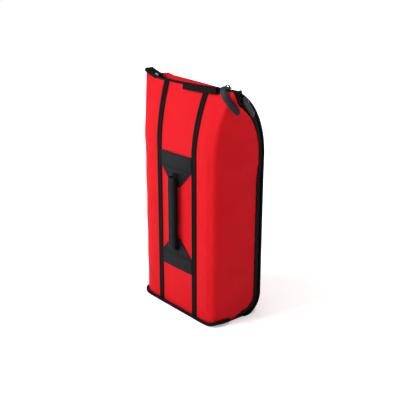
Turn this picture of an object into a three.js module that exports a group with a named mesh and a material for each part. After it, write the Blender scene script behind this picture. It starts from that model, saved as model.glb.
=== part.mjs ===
// Fire blanket in a soft zipped carry case: red woven case with a hinged back
// cover, a pinched top ridge, a U-shaped zipper with two sliders, a padded
// handle between two tape strips, and the folded blanket inside.
// Millimetres, +Z up. Origin: centre of the underside of the base.
// The front face is at -Y and the zipped cover is at +Y.
import * as THREE from 'three';

const V = (x, y, z) => new THREE.Vector3(x, y, z);

// ---------------------------------------------------------------- sizes
// overall
const WIDTH = 240;             // body, across the front
const DEPTH = 132;             // body, front to back
const HEIGHT = 494;            // floor to the plane of the ridge zipper
// case shape
const EAR = 24;                // how far each ridge end stands out past the side
const RIDGE_SETBACK = 38;      // ridge line behind the front face
const SHOULDER_R = 150;        // round of the back cover up to the ridge
const REAR_R = 48;             // round of the lower back edge
const CORNER_R = 20;           // soft upright front corners
const EAR_R = 5;               // what is left of that round at the ridge
const EAR_ROOM = 7;            // the folded cloth at a ridge end keeps this far back from its piping
const LEAN_RISE = 132;         // the front face leans back over this height below the ridge
const LEAN_POWER = 1.7;        // how late in that height it does so
// fabric and boards
const SKIN = 1.5;              // outer woven cloth
const LINING = 0.8;
const BOARD = 3;
const GAP = 0.3;               // clearance between layers that touch
// trims on the front
const STRIP_INNER = 50;        // centre line to the inner edge of a tape strip
const STRIP_WIDTH = 14;
const TAPE = 1.4;              // thickness of tape and patches
const BAND_MIDDLE = 0.46;      // height half-way between the two bands, as a share of HEIGHT
const BAND_REACH = 0.194;      // from there to each band's near edge, the same
const BAND_TALL = 31;
const ANCHOR_DROP = 38;        // length of the tapered anchor patch
const ANCHOR_TIP = 26;         // its width at the handle
// handle
const GRIP_END_ROOM = 18;      // each grip end to the near edge of its band
const GRIP_WIDTH = 22;
const GRIP_DEPTH = 13;
const GRIP_STANDOFF = 3;       // grip's back to the front tapes
const GRIP_WALL = 2;
const GRIP_R = 6;              // round of the grip's corners
const PADDING_SHORT = 8;       // the padding ends this far inside the grip
const HANDLE_STRAP = [15, 2.4, 16];  // width, thickness, reach past each grip end
// zipper
const BEAD_R = 2.5;            // edge piping
const EDGE_AT = 10;            // cloth edge, from the zipper's centre line
const BEAD_AT = EDGE_AT - BEAD_R;  // the edge piping touches the cloth edge
const COIL = [1.4, 3.4];       // near and far side of a coil half
const COIL_N = [-2.6, -1.4];   // bottom and top of a coil half
const TAPE_N = [-3.6, -2.9];   // bottom and top of the zipper tape
const SLIDER_LENGTH = 16;
const SLIDER_HALF = 6;
const PLATE = 1.5;
const PLATE_GAP = [-4, 3.1];   // inner plate's top and outer plate's underside
const LUG_HEIGHT = 4;
const SLIDER_A_IN = 8;         // first slider's place on the ridge, in from the body's side
const WEB_HALF = 0.3;          // half thickness of the slider's web
const LUG = [2, 1];            // half width and height of the rail on the outer plate
const SLIDER_B_BELOW = 9;      // second slider's place, degrees below the ridge end
const PULL = [58, 13, 2.4];    // length, width, thickness of a pull tab
// the first pull's route over the ridge end: place and outward direction, from its corner
const PULL_ROUTE = [
  [[-15, 20, 7], [0, -0.4, 0.9]],
  [[-10, 13, 4], [0, -0.7, 0.7]],
  [[5, 7, -12], [0.3, -0.9, 0.3]],
  [[16, 12, -24], [0.75, -0.6, 0.2]],
  [[22, 28, -42], [0.97, 0, 0.2]],
];
const PULL_CORNER = 30;        // that corner, in front of the ridge
// piping under the case
const PIPING_R = 3.2;
const PIPING_Z = 4;
// ridge tabs
const RIDGE_TAB = [110, 20];   // length, and how far its right end is in from the body's side
const RIDGE_TAB_OFF = 6;       // in front of the cloth
const RIDGE_TAB_BELOW = 9;     // its lower edge under the ridge
const RIDGE_TAB_TALL = 14;
const EAR_TAB = 40;            // length along the ridge
// folded blanket
const BLANKET_SIDE_ROOM = 15;  // to each side of the case
const BLANKET_FRONT_ROOM = 9;
const BLANKET_BACK_ROOM = 26;
const BLANKET_ABOVE = 28;      // its top above the start of the shoulder
const BLANKET_R = 24;

// ------------------------------------------------------- derived values
const HALF = WIDTH / 2;
const FRONT = -DEPTH / 2;
const BACK = DEPTH / 2;
const RIDGE_Y = FRONT + RIDGE_SETBACK;
const RIDGE_HALF = HALF + EAR;
const DEG = Math.PI / 180;
const rise = DEPTH - RIDGE_SETBACK;
const RUN = Math.hypot(EAR, rise);                       // plan length of the shoulder
const PLAN = V(EAR / RUN, -rise / RUN, 0);               // its direction, back to front
const SIDE_OUT = V(rise / RUN, EAR / RUN, 0);            // outward, square to it
const EAR_ANGLE = Math.acos(1 - RUN / SHOULDER_R);       // where the shoulder meets the ridge
const SHOULDER_Z = HEIGHT - SHOULDER_R * Math.sin(EAR_ANGLE);
const HINGE_ANGLE = 45 * DEG;
const TWIST_START = SHOULDER_Z - 57;
const GRIP_Z = BAND_MIDDLE * HEIGHT;
const BAND_LOW = [GRIP_Z - BAND_REACH * HEIGHT - BAND_TALL, GRIP_Z - BAND_REACH * HEIGHT];
const BAND_HIGH = [GRIP_Z + BAND_REACH * HEIGHT, GRIP_Z + BAND_REACH * HEIGHT + BAND_TALL];
const GRIP_LENGTH = 2 * (BAND_REACH * HEIGHT - GRIP_END_ROOM);
const LEAN_START = Math.max(HEIGHT - LEAN_RISE, BAND_HIGH[1] + 6);
const SLIDER_A_X = HALF - SLIDER_A_IN;
const BLANKET_TOP = SHOULDER_Z + BLANKET_ABOVE;
const EAR_STOP = EAR_ANGLE - 4 * DEG;                     // side zipper and shell end just short of the ridge

const lerp = THREE.MathUtils.lerp;

// -------------------------------------------------------------- meshing
/** Closed mesh through a row of closed rings that all have the same even count. */
function loft(rings) {
  const n = rings[0].length;
  const position = rings.flat().flatMap((p) => [p.x, p.y, p.z]);
  const index = [];
  for (let r = 0; r < rings.length - 1; r++) {
    const a = r * n;
    const b = a + n;
    for (let i = 0; i < n; i++) {
      const j = (i + 1) % n;
      index.push(a + i, a + j, b + j, a + i, b + j, b + i);
    }
  }
  for (const [start, flip] of [[0, true], [(rings.length - 1) * n, false]]) {
    for (let i = 0; i < n / 2 - 1; i++) {
      const quad = [start + i, start + i + 1, start + n - 2 - i, start + n - 1 - i];
      const faces = [[quad[0], quad[1], quad[2]], [quad[0], quad[2], quad[3]]];
      for (const f of faces) index.push(...(flip ? f.reverse() : f));
    }
  }
  const geometry = new THREE.BufferGeometry();
  geometry.setAttribute('position', new THREE.Float32BufferAttribute(position, 3));
  geometry.setIndex(signedVolume(position, index) < 0 ? index.reverse() : index);
  return geometry;
}

function signedVolume(p, index) {
  let sum = 0;
  for (let i = 0; i < index.length; i += 3) {
    const [a, b, c] = [0, 1, 2].map((k) => V(...p.slice(3 * index[i + k], 3 * index[i + k] + 3)));
    sum += a.dot(b.cross(c));
  }
  return sum;
}

/** Solid between two offsets of one patch of a surface grid, rows from..to, columns left..right. */
function layer(grid, from, to, left, right, low, high) {
  const rings = [];
  for (let r = from; r <= to; r++) {
    const outer = [];
    const inner = [];
    for (let c = left; c <= right; c++) {
      const { p, n } = grid[r][c];
      outer.push(p.clone().addScaledVector(n, high));
      inner.unshift(p.clone().addScaledVector(n, low));
    }
    rings.push([...outer, ...inner]);
  }
  return loft(rings);
}

/** Adds outward normals to a grid of points. side is +1 or -1. */
function withNormals(grid, side) {
  const rows = grid.length - 1;
  const cols = grid[0].length - 1;
  return grid.map((row, r) => row.map((p, c) => {
    const across = grid[r][Math.min(c + 1, cols)].clone().sub(grid[r][Math.max(c - 1, 0)]);
    const up = grid[Math.min(r + 1, rows)][c].clone().sub(grid[Math.max(r - 1, 0)][c]);
    return { p, n: across.cross(up).normalize().multiplyScalar(side) };
  }));
}

/** Sweeps a profile of [s, n] points along stations with a point, an s direction and an n direction. */
function sweep(stations, profile) {
  return loft(stations.map(({ p, s, n }) => profile.map(([a, b]) => p.clone().addScaledVector(s, a).addScaledVector(n, b))));
}

const rect = (s0, s1, n0, n1) => [[s0, n0], [s1, n0], [s1, n1], [s0, n1]];
const octagon = (s, n, r) => [...Array(8).keys()].map((i) => [
  s + r * Math.cos((i + 0.5) * 45 * DEG), n + r * Math.sin((i + 0.5) * 45 * DEG)]);

// ------------------------------------------------------- the case's edge
// A station of the side edge: p on the corner, s away from the case's middle
// in the plane of the zipper, n out of the case. side is +1 right, -1 left.
function edgeStation(side, point, inward, out) {
  const flip = (v) => V(v.x * side, v.y, v.z);
  return { p: flip(point), s: flip(inward).negate(), n: flip(out) };
}

function rearStation(side, angle) {
  const point = V(HALF, BACK - REAR_R + REAR_R * Math.sin(angle), REAR_R - REAR_R * Math.cos(angle));
  return edgeStation(side, point, V(0, -Math.sin(angle), Math.cos(angle)), V(1, 0, 0));
}

function uprightStation(side, z) {
  const twist = THREE.MathUtils.clamp((z - TWIST_START) / (SHOULDER_Z - TWIST_START), 0, 1);
  const inward = V(0, -1, 0).lerp(PLAN, twist).normalize();
  const out = V(1, 0, 0).lerp(SIDE_OUT, twist).normalize();
  return edgeStation(side, V(HALF, BACK, z), inward, out);
}

function shoulderStation(side, angle) {
  const run = SHOULDER_R * (1 - Math.cos(angle));
  const point = V(HALF, BACK, SHOULDER_Z + SHOULDER_R * Math.sin(angle)).addScaledVector(PLAN, run);
  const inward = PLAN.clone().multiplyScalar(Math.cos(angle)).add(V(0, 0, -Math.sin(angle)));
  return edgeStation(side, point, inward, SIDE_OUT.clone());
}

const PIPING_TOP = PIPING_Z + PIPING_R + GAP;
const rearAngles = [0, Math.acos(1 - PIPING_TOP / REAR_R), HINGE_ANGLE];
const hingeAngles = [HINGE_ANGLE, (HINGE_ANGLE + 90 * DEG) / 2, 90 * DEG];
const uprightHeights = [
  ...[1, 2, 3, 4].map((i) => lerp(REAR_R, TWIST_START, i / 4)),
  ...[1, 2].map((i) => lerp(TWIST_START, SHOULDER_Z, i / 2)),
];
const shoulderSteps = [...Array(9).keys()].slice(1).map((i) => i / 8);

// ------------------------------------------------------------ front shell
// One cloth from the right zipper edge round the front to the left one.
function shellRow(edgeRight, edgeLeft, corner, radius, narrow) {
  const half = (edge, side) => {
    const start = edge.p.clone().addScaledVector(edge.s, -2 * EDGE_AT - GAP - narrow);
    const turn = V(corner.x * side, corner.y, corner.z);
    const in0 = turn.clone().add(start.clone().sub(turn).setLength(Math.min(radius, start.distanceTo(turn) / 2)));
    const in1 = turn.clone().add(V(-side * radius, 0, 0));
    const points = [start, start.clone().lerp(in0, 0.5)];
    for (let i = 0; i <= 4; i++) {
      const t = i / 4;
      points.push(in0.clone().multiplyScalar((1 - t) ** 2)
        .addScaledVector(turn, 2 * t * (1 - t)).addScaledVector(in1, t * t));
    }
    for (const x of [STRIP_INNER + STRIP_WIDTH, STRIP_INNER]) points.push(V(side * x, corner.y, corner.z));
    return points;
  };
  return [...half(edgeRight, 1), V(0, corner.y, corner.z), ...half(edgeLeft, -1).reverse()];
}

const TOP_FRONT_Y = RIDGE_Y - EDGE_AT - GAP;
const TOP_FRONT_Z = HEIGHT - 2;
const earCorner = (share) => {
  const z = lerp(SHOULDER_Z, TOP_FRONT_Z, share);
  const lean = THREE.MathUtils.clamp((z - LEAN_START) / (TOP_FRONT_Z - LEAN_START), 0, 1);
  return V(HALF + (EAR - 4) * share ** 2, lerp(FRONT, TOP_FRONT_Y, lean ** LEAN_POWER), z);
};

const shellStations = [
  ...rearAngles.map((a) => [a, (side) => rearStation(side, a)]),
  ...hingeAngles.slice(1).map((a) => [a, (side) => rearStation(side, a)]),
].map(([a, at]) => ({ at, corner: V(HALF, FRONT, REAR_R - REAR_R * Math.cos(a)), radius: CORNER_R }))
  .concat(uprightHeights.map((z) => ({
    at: (side) => uprightStation(side, z), corner: V(HALF, FRONT, z), radius: CORNER_R })))
  .concat(shoulderSteps.map((share) => ({
    at: (side) => shoulderStation(side, share * EAR_STOP),
    corner: earCorner(share),
    radius: lerp(CORNER_R, EAR_R, share),
    narrow: EAR_ROOM * share ** 2,
  })));
const shellGrid = withNormals(shellStations.map(({ at, corner, radius, narrow = 0 }) =>
  shellRow(at(1), at(-1), corner, radius, narrow)), -1);
const LAST = shellGrid.length - 1;
const COLS = shellGrid[0].length - 1;
const MID = COLS / 2;
const rowAt = (z) => shellStations.findIndex((s) => Math.abs(s.corner.z - z) < 1e-6);
const ROW_SHOULDER = rowAt(SHOULDER_Z);

// ------------------------------------------------------------- back cover
const coverStations = [
  ...hingeAngles.map((a) => (side) => rearStation(side, a)),
  ...uprightHeights.map((z) => (side) => uprightStation(side, z)),
  ...shoulderSteps.map((share) => (side) => {
    const stop = Math.acos(1 - (RUN - EDGE_AT * RUN / rise - GAP) / SHOULDER_R);
    return shoulderStation(side, share * stop);
  }),
];
const coverGrid = withNormals(coverStations.map((at) => {
  const [right, left] = [at(1).p, at(-1).p];
  const inset = 3 / (2 * right.x);
  return [inset, 0.3, 0.5, 0.7, 1 - inset].map((f) => right.clone().lerp(left, f));
}), 1);
const COVER_LAST = coverGrid.length - 1;

// ----------------------------------------------------------------- zipper
const sidePath = (side, first) => [
  ...[...rearAngles.slice(first), ...hingeAngles.slice(1)].map((a) => rearStation(side, a)),
  ...uprightHeights.map((z) => uprightStation(side, z)),
  ...shoulderSteps.map((share) => shoulderStation(side, share * EAR_STOP)),
].map(({ p, s, n }) => ({ p: p.clone().addScaledVector(s, -EDGE_AT), s, n }));
const ridgePath = (reach) => [-reach, reach].map((x) => ({
  p: V(x, RIDGE_Y, HEIGHT), s: V(0, 1, 0), n: V(0, 0, 1) }));
const RIDGE_REACH = RIDGE_HALF - 12;
// half is -1 for the shell's side of the zipper and +1 for the cover's
const coilHalf = (path, half) => sweep(path, rect(half * COIL[0], half * COIL[1], ...COIL_N));
const beadHalf = (path, half) => sweep(path, octagon(half * BEAD_AT, -0.2, BEAD_R));
const tapeHalf = (path, half, reach) => sweep(path, rect(half * COIL[0], half * reach, ...TAPE_N));

/** The slider's section: two plates joined by the web that runs between the coils. */
function sliderGeometry(place) {
  const [low, high] = PLATE_GAP;
  const top = high + PLATE;
  const [lugHalf, lugTall] = LUG;
  const shape = new THREE.Shape([
    [-SLIDER_HALF, low - PLATE], [SLIDER_HALF, low - PLATE], [SLIDER_HALF, low], [WEB_HALF, low],
    [WEB_HALF, high], [SLIDER_HALF, high], [SLIDER_HALF, top], [lugHalf, top],
    [lugHalf, top + lugTall], [-lugHalf, top + lugTall], [-lugHalf, top], [-SLIDER_HALF, top],
    [-SLIDER_HALF, high], [-WEB_HALF, high], [-WEB_HALF, low], [-SLIDER_HALF, low],
  ].map(([x, y]) => new THREE.Vector2(x, y)));
  const geometry = new THREE.ExtrudeGeometry(shape, { depth: SLIDER_LENGTH, bevelEnabled: false });
  geometry.translate(0, 0, -SLIDER_LENGTH / 2);
  return geometry.applyMatrix4(frameOf(place));
}

/** Frame with x along s, y along n and z along the travel. */
function frameOf({ p, s, n }) {
  return new THREE.Matrix4().makeBasis(s, n, s.clone().cross(n)).setPosition(p);
}

// ------------------------------------------------------------ other shapes
function plate(points, depth) {
  const shape = new THREE.Shape(points.map(([x, y]) => new THREE.Vector2(x, y)));
  return new THREE.ExtrudeGeometry(shape, { depth, bevelEnabled: false, curveSegments: 6 });
}

function roundedRect(w, h, r, holes = []) {
  const shape = new THREE.Shape();
  shape.moveTo(-w / 2 + r, -h / 2);
  shape.lineTo(w / 2 - r, -h / 2);
  shape.absarc(w / 2 - r, -h / 2 + r, r, -Math.PI / 2, 0);
  shape.lineTo(w / 2, h / 2 - r);
  shape.absarc(w / 2 - r, h / 2 - r, r, 0, Math.PI / 2);
  shape.lineTo(-w / 2 + r, h / 2);
  shape.absarc(-w / 2 + r, h / 2 - r, r, Math.PI / 2, Math.PI);
  shape.lineTo(-w / 2, -h / 2 + r);
  shape.absarc(-w / 2 + r, -h / 2 + r, r, Math.PI, 1.5 * Math.PI);
  shape.holes = holes;
  return shape;
}

/** Box by its low and high corners. */
function box(low, high) {
  const size = high.map((v, i) => v - low[i]);
  const geometry = new THREE.BoxGeometry(...size);
  return geometry.translate(...low.map((v, i) => v + size[i] / 2));
}

// A patch on the flat front face, drawn in x and z, resting on it.
const onFront = (points, lift, thick) => plate(points, thick).rotateX(Math.PI / 2).translate(0, FRONT - lift, 0);

/** Bar of a y-z outline, from -reach to +reach in x. */
function barOfOutline(shape, reach, y, z) {
  const geometry = new THREE.ExtrudeGeometry(shape, { depth: 2 * reach, bevelEnabled: false, curveSegments: 5 });
  return geometry.rotateY(Math.PI / 2).rotateX(Math.PI / 2).translate(-reach, y, z);
}

// -------------------------------------------------------------- materials
const finish = (color, roughness, metalness = 0) => ({ color, roughness, metalness });
const RED = finish(0xd81e2c, 0.75);
const BLACK = finish(0x1b1d20, 0.8);
const CHARCOAL = finish(0x2a2d31, 0.7);
const GREY = finish(0x55585c, 0.9);
const METAL = finish(0x23252a, 0.35, 0.7);
const RUBBER = finish(0x15171a, 0.55);
const CLOTH = finish(0xd9d6cc, 0.9);
const FOAM = finish(0x3a3b3d, 1);

const model = new THREE.Group();
function add(name, geometry, look) {
  const mesh = new THREE.Mesh(geometry, new THREE.MeshStandardMaterial(look));
  mesh.name = name;
  model.add(mesh);
  return mesh;
}

// ---------------------------------------------------------- case: the shell
add('front_shell', layer(shellGrid, 0, LAST, 0, COLS, -SKIN, 0), RED);
const liningIn = SKIN + 2 * GAP;
const boardIn = liningIn + LINING + GAP;
add('shell_lining', layer(shellGrid, 1, ROW_SHOULDER + 3, 1, COLS - 1, -liningIn - LINING, -liningIn), GREY);
add('front_board', box(
  [-HALF + CORNER_R, FRONT + boardIn, REAR_R / 3],
  [HALF - CORNER_R, FRONT + boardIn + BOARD, BAND_HIGH[1]]), FOAM);

const basePlan = roundedRect(WIDTH - 2 * liningIn, DEPTH - REAR_R - liningIn, CORNER_R - liningIn);
const baseMiddle = (FRONT + liningIn + BACK - REAR_R) / 2;
const flat = (shape, thick, y, z) => new THREE.ExtrudeGeometry(
  shape, { depth: thick, bevelEnabled: false, curveSegments: 5 }).translate(0, y, z);
add('base_panel', flat(basePlan, SKIN, baseMiddle, 0), BLACK);
const boardPlan = roundedRect(WIDTH - 24, DEPTH - REAR_R - 24, CORNER_R / 2);
add('base_board', flat(boardPlan, BOARD, baseMiddle, SKIN + GAP), FOAM);

const hingeStripAngles = [0, HINGE_ANGLE / 2, HINGE_ANGLE - 1.5 * DEG];
const rearBand = withNormals(hingeStripAngles.map((a) => {
  const [right, left] = [rearStation(1, a).p, rearStation(-1, a).p];
  const inset = liningIn / WIDTH;
  return [inset, 0.5, 1 - inset].map((f) => right.clone().lerp(left, f));
}), 1);
for (const point of rearBand[0]) point.n.set(0, 0, -1);
rearBand[0].forEach(({ p }) => { p.y += GAP; });
add('hinge_strip', layer(rearBand, 0, rearBand.length - 1, 0, 2, -SKIN, 0), BLACK);

// piping round the foot, just outside the shell's lowest edge
const footStations = shellGrid[0].map(({ p, n }) => {
  const outward = V(n.x, n.y, 0).normalize();
  const at = p.clone().addScaledVector(outward, PIPING_R + GAP).setZ(PIPING_Z);
  return { p: at, s: outward, n: V(0, 0, 1) };
});
add('bottom_piping', sweep(footStations, octagon(0, 0, PIPING_R)), BLACK);

// ------------------------------------------------------ case: front trims
const strip = (left) => layer(shellGrid, 1, LAST, left, left + 1, GAP, GAP + TAPE);
add('strip_right', strip(MID - 2), BLACK);
add('strip_left', strip(MID + 1), BLACK);
const bandReach = STRIP_INNER - GAP;
for (const [name, [low, high], tip] of [['upper', BAND_HIGH, -1], ['lower', BAND_LOW, 1]]) {
  const seam = tip < 0 ? low : high;
  add(`${name}_band`, onFront([[-bandReach, low], [bandReach, low], [bandReach, high], [-bandReach, high]],
    GAP, TAPE), CHARCOAL);
  const start = seam + tip * GAP;
  add(`${name}_anchor`, onFront([[-bandReach, start], [bandReach, start],
    [ANCHOR_TIP / 2, start + tip * ANCHOR_DROP], [-ANCHOR_TIP / 2, start + tip * ANCHOR_DROP]], GAP, TAPE), CHARCOAL);
}

// ----------------------------------------------------------------- handle
const gripY = FRONT - GAP - TAPE - GRIP_STANDOFF - GRIP_DEPTH / 2;
const upright = (shape, length) => new THREE.ExtrudeGeometry(
  shape, { depth: length, bevelEnabled: false, curveSegments: 3 }).translate(0, gripY, GRIP_Z - length / 2);
const tube = (w, h, wall, r) => roundedRect(w, h, r, [roundedRect(w - 2 * wall, h - 2 * wall, r - wall)]);
add('handle_wrap', upright(tube(GRIP_WIDTH, GRIP_DEPTH, GRIP_WALL, GRIP_R), GRIP_LENGTH), CHARCOAL);
const padW = GRIP_WIDTH - 2 * GRIP_WALL - 2 * GAP;
const padD = GRIP_DEPTH - 2 * GRIP_WALL - 2 * GAP;
const strapSlot = roundedRect(HANDLE_STRAP[0] + 2 * GAP, HANDLE_STRAP[1] + 2 * GAP, 0.5);
add('handle_padding', upright(roundedRect(padW, padD, GRIP_R - GRIP_WALL - GAP, [strapSlot]), GRIP_LENGTH - 2 * PADDING_SHORT), FOAM);
add('handle_strap', box(
  [-HANDLE_STRAP[0] / 2, gripY - HANDLE_STRAP[1] / 2, GRIP_Z - GRIP_LENGTH / 2 - HANDLE_STRAP[2]],
  [HANDLE_STRAP[0] / 2, gripY + HANDLE_STRAP[1] / 2, GRIP_Z + GRIP_LENGTH / 2 + HANDLE_STRAP[2]]), BLACK);

// -------------------------------------------------- zipper: shell and cover
for (const [place, side] of [['right', 1], ['left', -1]]) {
  const shellPath = sidePath(side, 0);
  const coverPath = sidePath(side, 2);
  add(`shell_tape_${place}`, tapeHalf(shellPath, -1, EDGE_AT - GAP), BLACK);
  add(`shell_coil_${place}`, coilHalf(shellPath, -1), BLACK);
  add(`shell_edge_piping_${place}`, beadHalf(shellPath, -1), BLACK);
  add(`cover_tape_${place}`, tapeHalf(coverPath, 1, EDGE_AT - SKIN - GAP), BLACK);
  add(`cover_coil_${place}`, coilHalf(coverPath, 1), BLACK);
  add(`cover_edge_piping_${place}`, beadHalf(coverPath, 1), BLACK);
}
const ridge = ridgePath(RIDGE_REACH);
add('shell_tape_ridge', tapeHalf(ridge, -1, EDGE_AT - 2 * SKIN), BLACK);
add('shell_coil_ridge', coilHalf(ridge, -1), BLACK);
add('shell_edge_piping_ridge', beadHalf(ridge, -1), BLACK);
add('cover_tape_ridge', tapeHalf(ridge, 1, EDGE_AT), BLACK);
add('cover_coil_ridge', coilHalf(ridge, 1), BLACK);
add('cover_edge_piping_ridge', beadHalf(ridge, 1), BLACK);

// ------------------------------------------------------------- back cover
add('back_panel', layer(coverGrid, 0, COVER_LAST, 0, 4, -SKIN, 0), RED);
add('back_lining', layer(coverGrid, 1, COVER_LAST - 3, 1, 3, -liningIn - LINING, -liningIn), GREY);
add('back_board', box(
  [-HALF + 2 * REAR_R / 3, BACK - boardIn - BOARD, REAR_R + 4],
  [HALF - 2 * REAR_R / 3, BACK - boardIn, SHOULDER_Z - 6]), FOAM);

// ------------------------------------------------------------------- tabs
const tabY = TOP_FRONT_Y - RIDGE_TAB_OFF;
const tabRight = HALF - RIDGE_TAB[1];
const tabLow = HEIGHT - RIDGE_TAB_BELOW;
add('ridge_tab', box([tabRight - RIDGE_TAB[0], tabY - TAPE, tabLow], [tabRight, tabY, tabLow + RIDGE_TAB_TALL]), BLACK);
add('ear_tab', box([-RIDGE_HALF - 1, RIDGE_Y - SLIDER_HALF, HEIGHT + PLATE_GAP[1]],
  [-RIDGE_HALF - 1 + EAR_TAB, RIDGE_Y + SLIDER_HALF, HEIGHT + PLATE_GAP[1] + TAPE]), BLACK);

// ---------------------------------------------------------------- sliders
const LUG_AT = PLATE_GAP[1] + PLATE + LUG[1];   // top of the rail on the outer plate
const sliderA = { p: V(SLIDER_A_X, RIDGE_Y, HEIGHT), s: V(0, 1, 0), n: V(0, 0, 1) };
const edgeB = shoulderStation(1, EAR_ANGLE - SLIDER_B_BELOW * DEG);
const sliderB = { p: edgeB.p.clone().addScaledVector(edgeB.s, -EDGE_AT), s: edgeB.s, n: edgeB.n };
add('slider_a', sliderGeometry(sliderA), METAL);
add('slider_b', sliderGeometry(sliderB), METAL);

/** Pull tab from its pivot along a direction, flat side facing out. */
function pullGeometry(pivot, along, facing) {
  const z = facing.clone().addScaledVector(along, -facing.dot(along)).normalize();
  const y = z.clone().cross(along).normalize();
  const [length, width, thick] = PULL;
  const shape = roundedRect(length, width, width / 2 - 1);
  const geometry = new THREE.ExtrudeGeometry(shape, { depth: thick, bevelEnabled: false, curveSegments: 4 });
  geometry.translate(length / 2 - 2, 0, -thick / 2);
  return geometry.applyMatrix4(new THREE.Matrix4().makeBasis(along, y, z).setPosition(pivot));
}
// The first pull bends round the ear: over the front edge, then down the side.
const earFront = V(HALF, RIDGE_Y - PULL_CORNER, HEIGHT);
const pullRoute = PULL_ROUTE.map(([offset, facing]) => ({
  p: V(...offset).add(earFront), facing: V(...facing).normalize() }));
const pullStations = pullRoute.map(({ p, facing }, i) => {
  const next = pullRoute[Math.min(i + 1, pullRoute.length - 1)].p;
  const along = next.clone().sub(pullRoute[Math.max(i - 1, 0)].p).normalize();
  const s = facing.clone().cross(along).normalize();
  return { p, s, n: along.clone().cross(s) };
});
add('pull_a', sweep(pullStations, rect(-PULL[1] / 2, PULL[1] / 2, 0, PULL[2])), RUBBER);
const downB = edgeB.s.clone().cross(edgeB.n).normalize();
const pivotB = sliderB.p.clone().addScaledVector(sliderB.n, LUG_AT + LUG_HEIGHT - 1);
add('pull_b', pullGeometry(pivotB.clone().addScaledVector(downB, 4), downB, edgeB.n), RUBBER);

// ------------------------------------------------------------ the blanket
const blanketLow = SKIN + GAP + BOARD + GAP;
const blanketDepth = DEPTH - BLANKET_FRONT_ROOM - BLANKET_BACK_ROOM;
const blanketTall = BLANKET_TOP - blanketLow;
const blanketY = (FRONT + BLANKET_FRONT_ROOM + BACK - BLANKET_BACK_ROOM) / 2;
const blanketReach = HALF - BLANKET_SIDE_ROOM;
const blanketOutline = roundedRect(blanketDepth, blanketTall, BLANKET_R);
add('folded_blanket', barOfOutline(blanketOutline, blanketReach, blanketY, blanketLow + blanketTall / 2), CLOTH);

export default model;
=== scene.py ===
"""Looks of a fire blanket in its zipped carry case."""

import logging
import math
from dataclasses import dataclass, field
from enum import Enum
from functools import partial
from typing import Callable, Iterable, Sequence

import bpy
import numpy as np
from mathutils import Matrix, Vector


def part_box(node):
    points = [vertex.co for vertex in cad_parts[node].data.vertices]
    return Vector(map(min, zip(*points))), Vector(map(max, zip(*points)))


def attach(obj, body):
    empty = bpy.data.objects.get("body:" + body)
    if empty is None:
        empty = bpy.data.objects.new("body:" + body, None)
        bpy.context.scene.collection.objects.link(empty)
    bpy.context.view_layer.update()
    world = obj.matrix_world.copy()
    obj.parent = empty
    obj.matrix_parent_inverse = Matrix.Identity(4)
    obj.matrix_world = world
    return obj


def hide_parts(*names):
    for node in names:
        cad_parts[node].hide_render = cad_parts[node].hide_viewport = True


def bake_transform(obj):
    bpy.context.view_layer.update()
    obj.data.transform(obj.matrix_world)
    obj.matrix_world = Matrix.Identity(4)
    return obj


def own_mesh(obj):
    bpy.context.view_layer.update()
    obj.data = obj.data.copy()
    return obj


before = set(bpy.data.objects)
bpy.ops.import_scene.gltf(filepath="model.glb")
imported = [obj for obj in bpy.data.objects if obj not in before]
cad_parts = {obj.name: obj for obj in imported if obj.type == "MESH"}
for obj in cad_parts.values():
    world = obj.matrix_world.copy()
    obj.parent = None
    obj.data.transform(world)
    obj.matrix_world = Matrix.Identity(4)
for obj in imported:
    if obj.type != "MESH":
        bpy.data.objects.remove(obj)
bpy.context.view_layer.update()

log = logging.getLogger("fire_blanket_case")
MM = 0.001
Grid = np.ndarray
Point = tuple[float, float, float]
RIGHT: Point = (1.0, 0.0, 0.0)
FRONT: Point = (0.0, -1.0, 0.0)
BACK: Point = (0.0, 1.0, 0.0)
UP: Point = (0.0, 0.0, 1.0)
# sizes of the slow patterns in the finishes
FIBRE_SIZE = 3 * MM
CLOTH_WEAR_SIZE = 60 * MM
HARD_WEAR_SIZE = 8 * MM
SHARP_ANGLE = math.radians(50)


class Body(str, Enum):
    """The rigid bodies that pieces ride on."""

    CASE = "case"
    COVER = "cover"
    HANDLE = "handle"
    FIRST_SLIDER = "first_slider"
    SECOND_SLIDER = "second_slider"
    FIRST_PULL = "first_pull"
    SECOND_PULL = "second_pull"
    BLANKET = "blanket"


class Half(Enum):
    """The two halves of the zipper: the shell's and the cover's."""

    SHELL = -1
    COVER = 1


# ------------------------------------------------------------- materials


def linear(hex_colour: str) -> tuple[float, float, float, float]:
    """Turn an sRGB hex colour to linear RGBA.

    Args:
        hex_colour: Six hex digits.

    Returns:
        Linear red, green, blue and an alpha of one.
    """
    values = [int(hex_colour[i:i + 2], 16) / 255 for i in (0, 2, 4)]
    channels = [v / 12.92 if v <= 0.04045 else ((v + 0.055) / 1.055) ** 2.4 for v in values]
    return (*channels, 1.0)


def node(tree: bpy.types.NodeTree, kind: str, links: dict | None = None,
         **settings: object) -> bpy.types.Node:
    """Add a node with its settings and links.

    Args:
        tree: The node tree to add to.
        kind: The node's type name.
        links: Input name or number to an output socket, or to a plain value.
        **settings: Properties of the node itself.

    Returns:
        The new node.
    """
    made = tree.nodes.new(kind)
    for name, value in settings.items():
        setattr(made, name, value)
    for key, value in (links or {}).items():
        socket = made.inputs[key]
        if isinstance(value, bpy.types.NodeSocket):
            tree.links.new(value, socket)
        else:
            socket.default_value = value
    return made


def started(name: str) -> tuple[bpy.types.Material, Callable[..., bpy.types.Node], bpy.types.NodeSocket]:
    """Start a material with an empty tree.

    Args:
        name: The material's name.

    Returns:
        The material, node() tied to its tree, and the piece's Object coordinates.
    """
    material = bpy.data.materials.new(name)
    material.use_nodes = True
    material.node_tree.nodes.clear()
    add = partial(node, material.node_tree)
    return material, add, add("ShaderNodeTexCoord").outputs["Object"]


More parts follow.
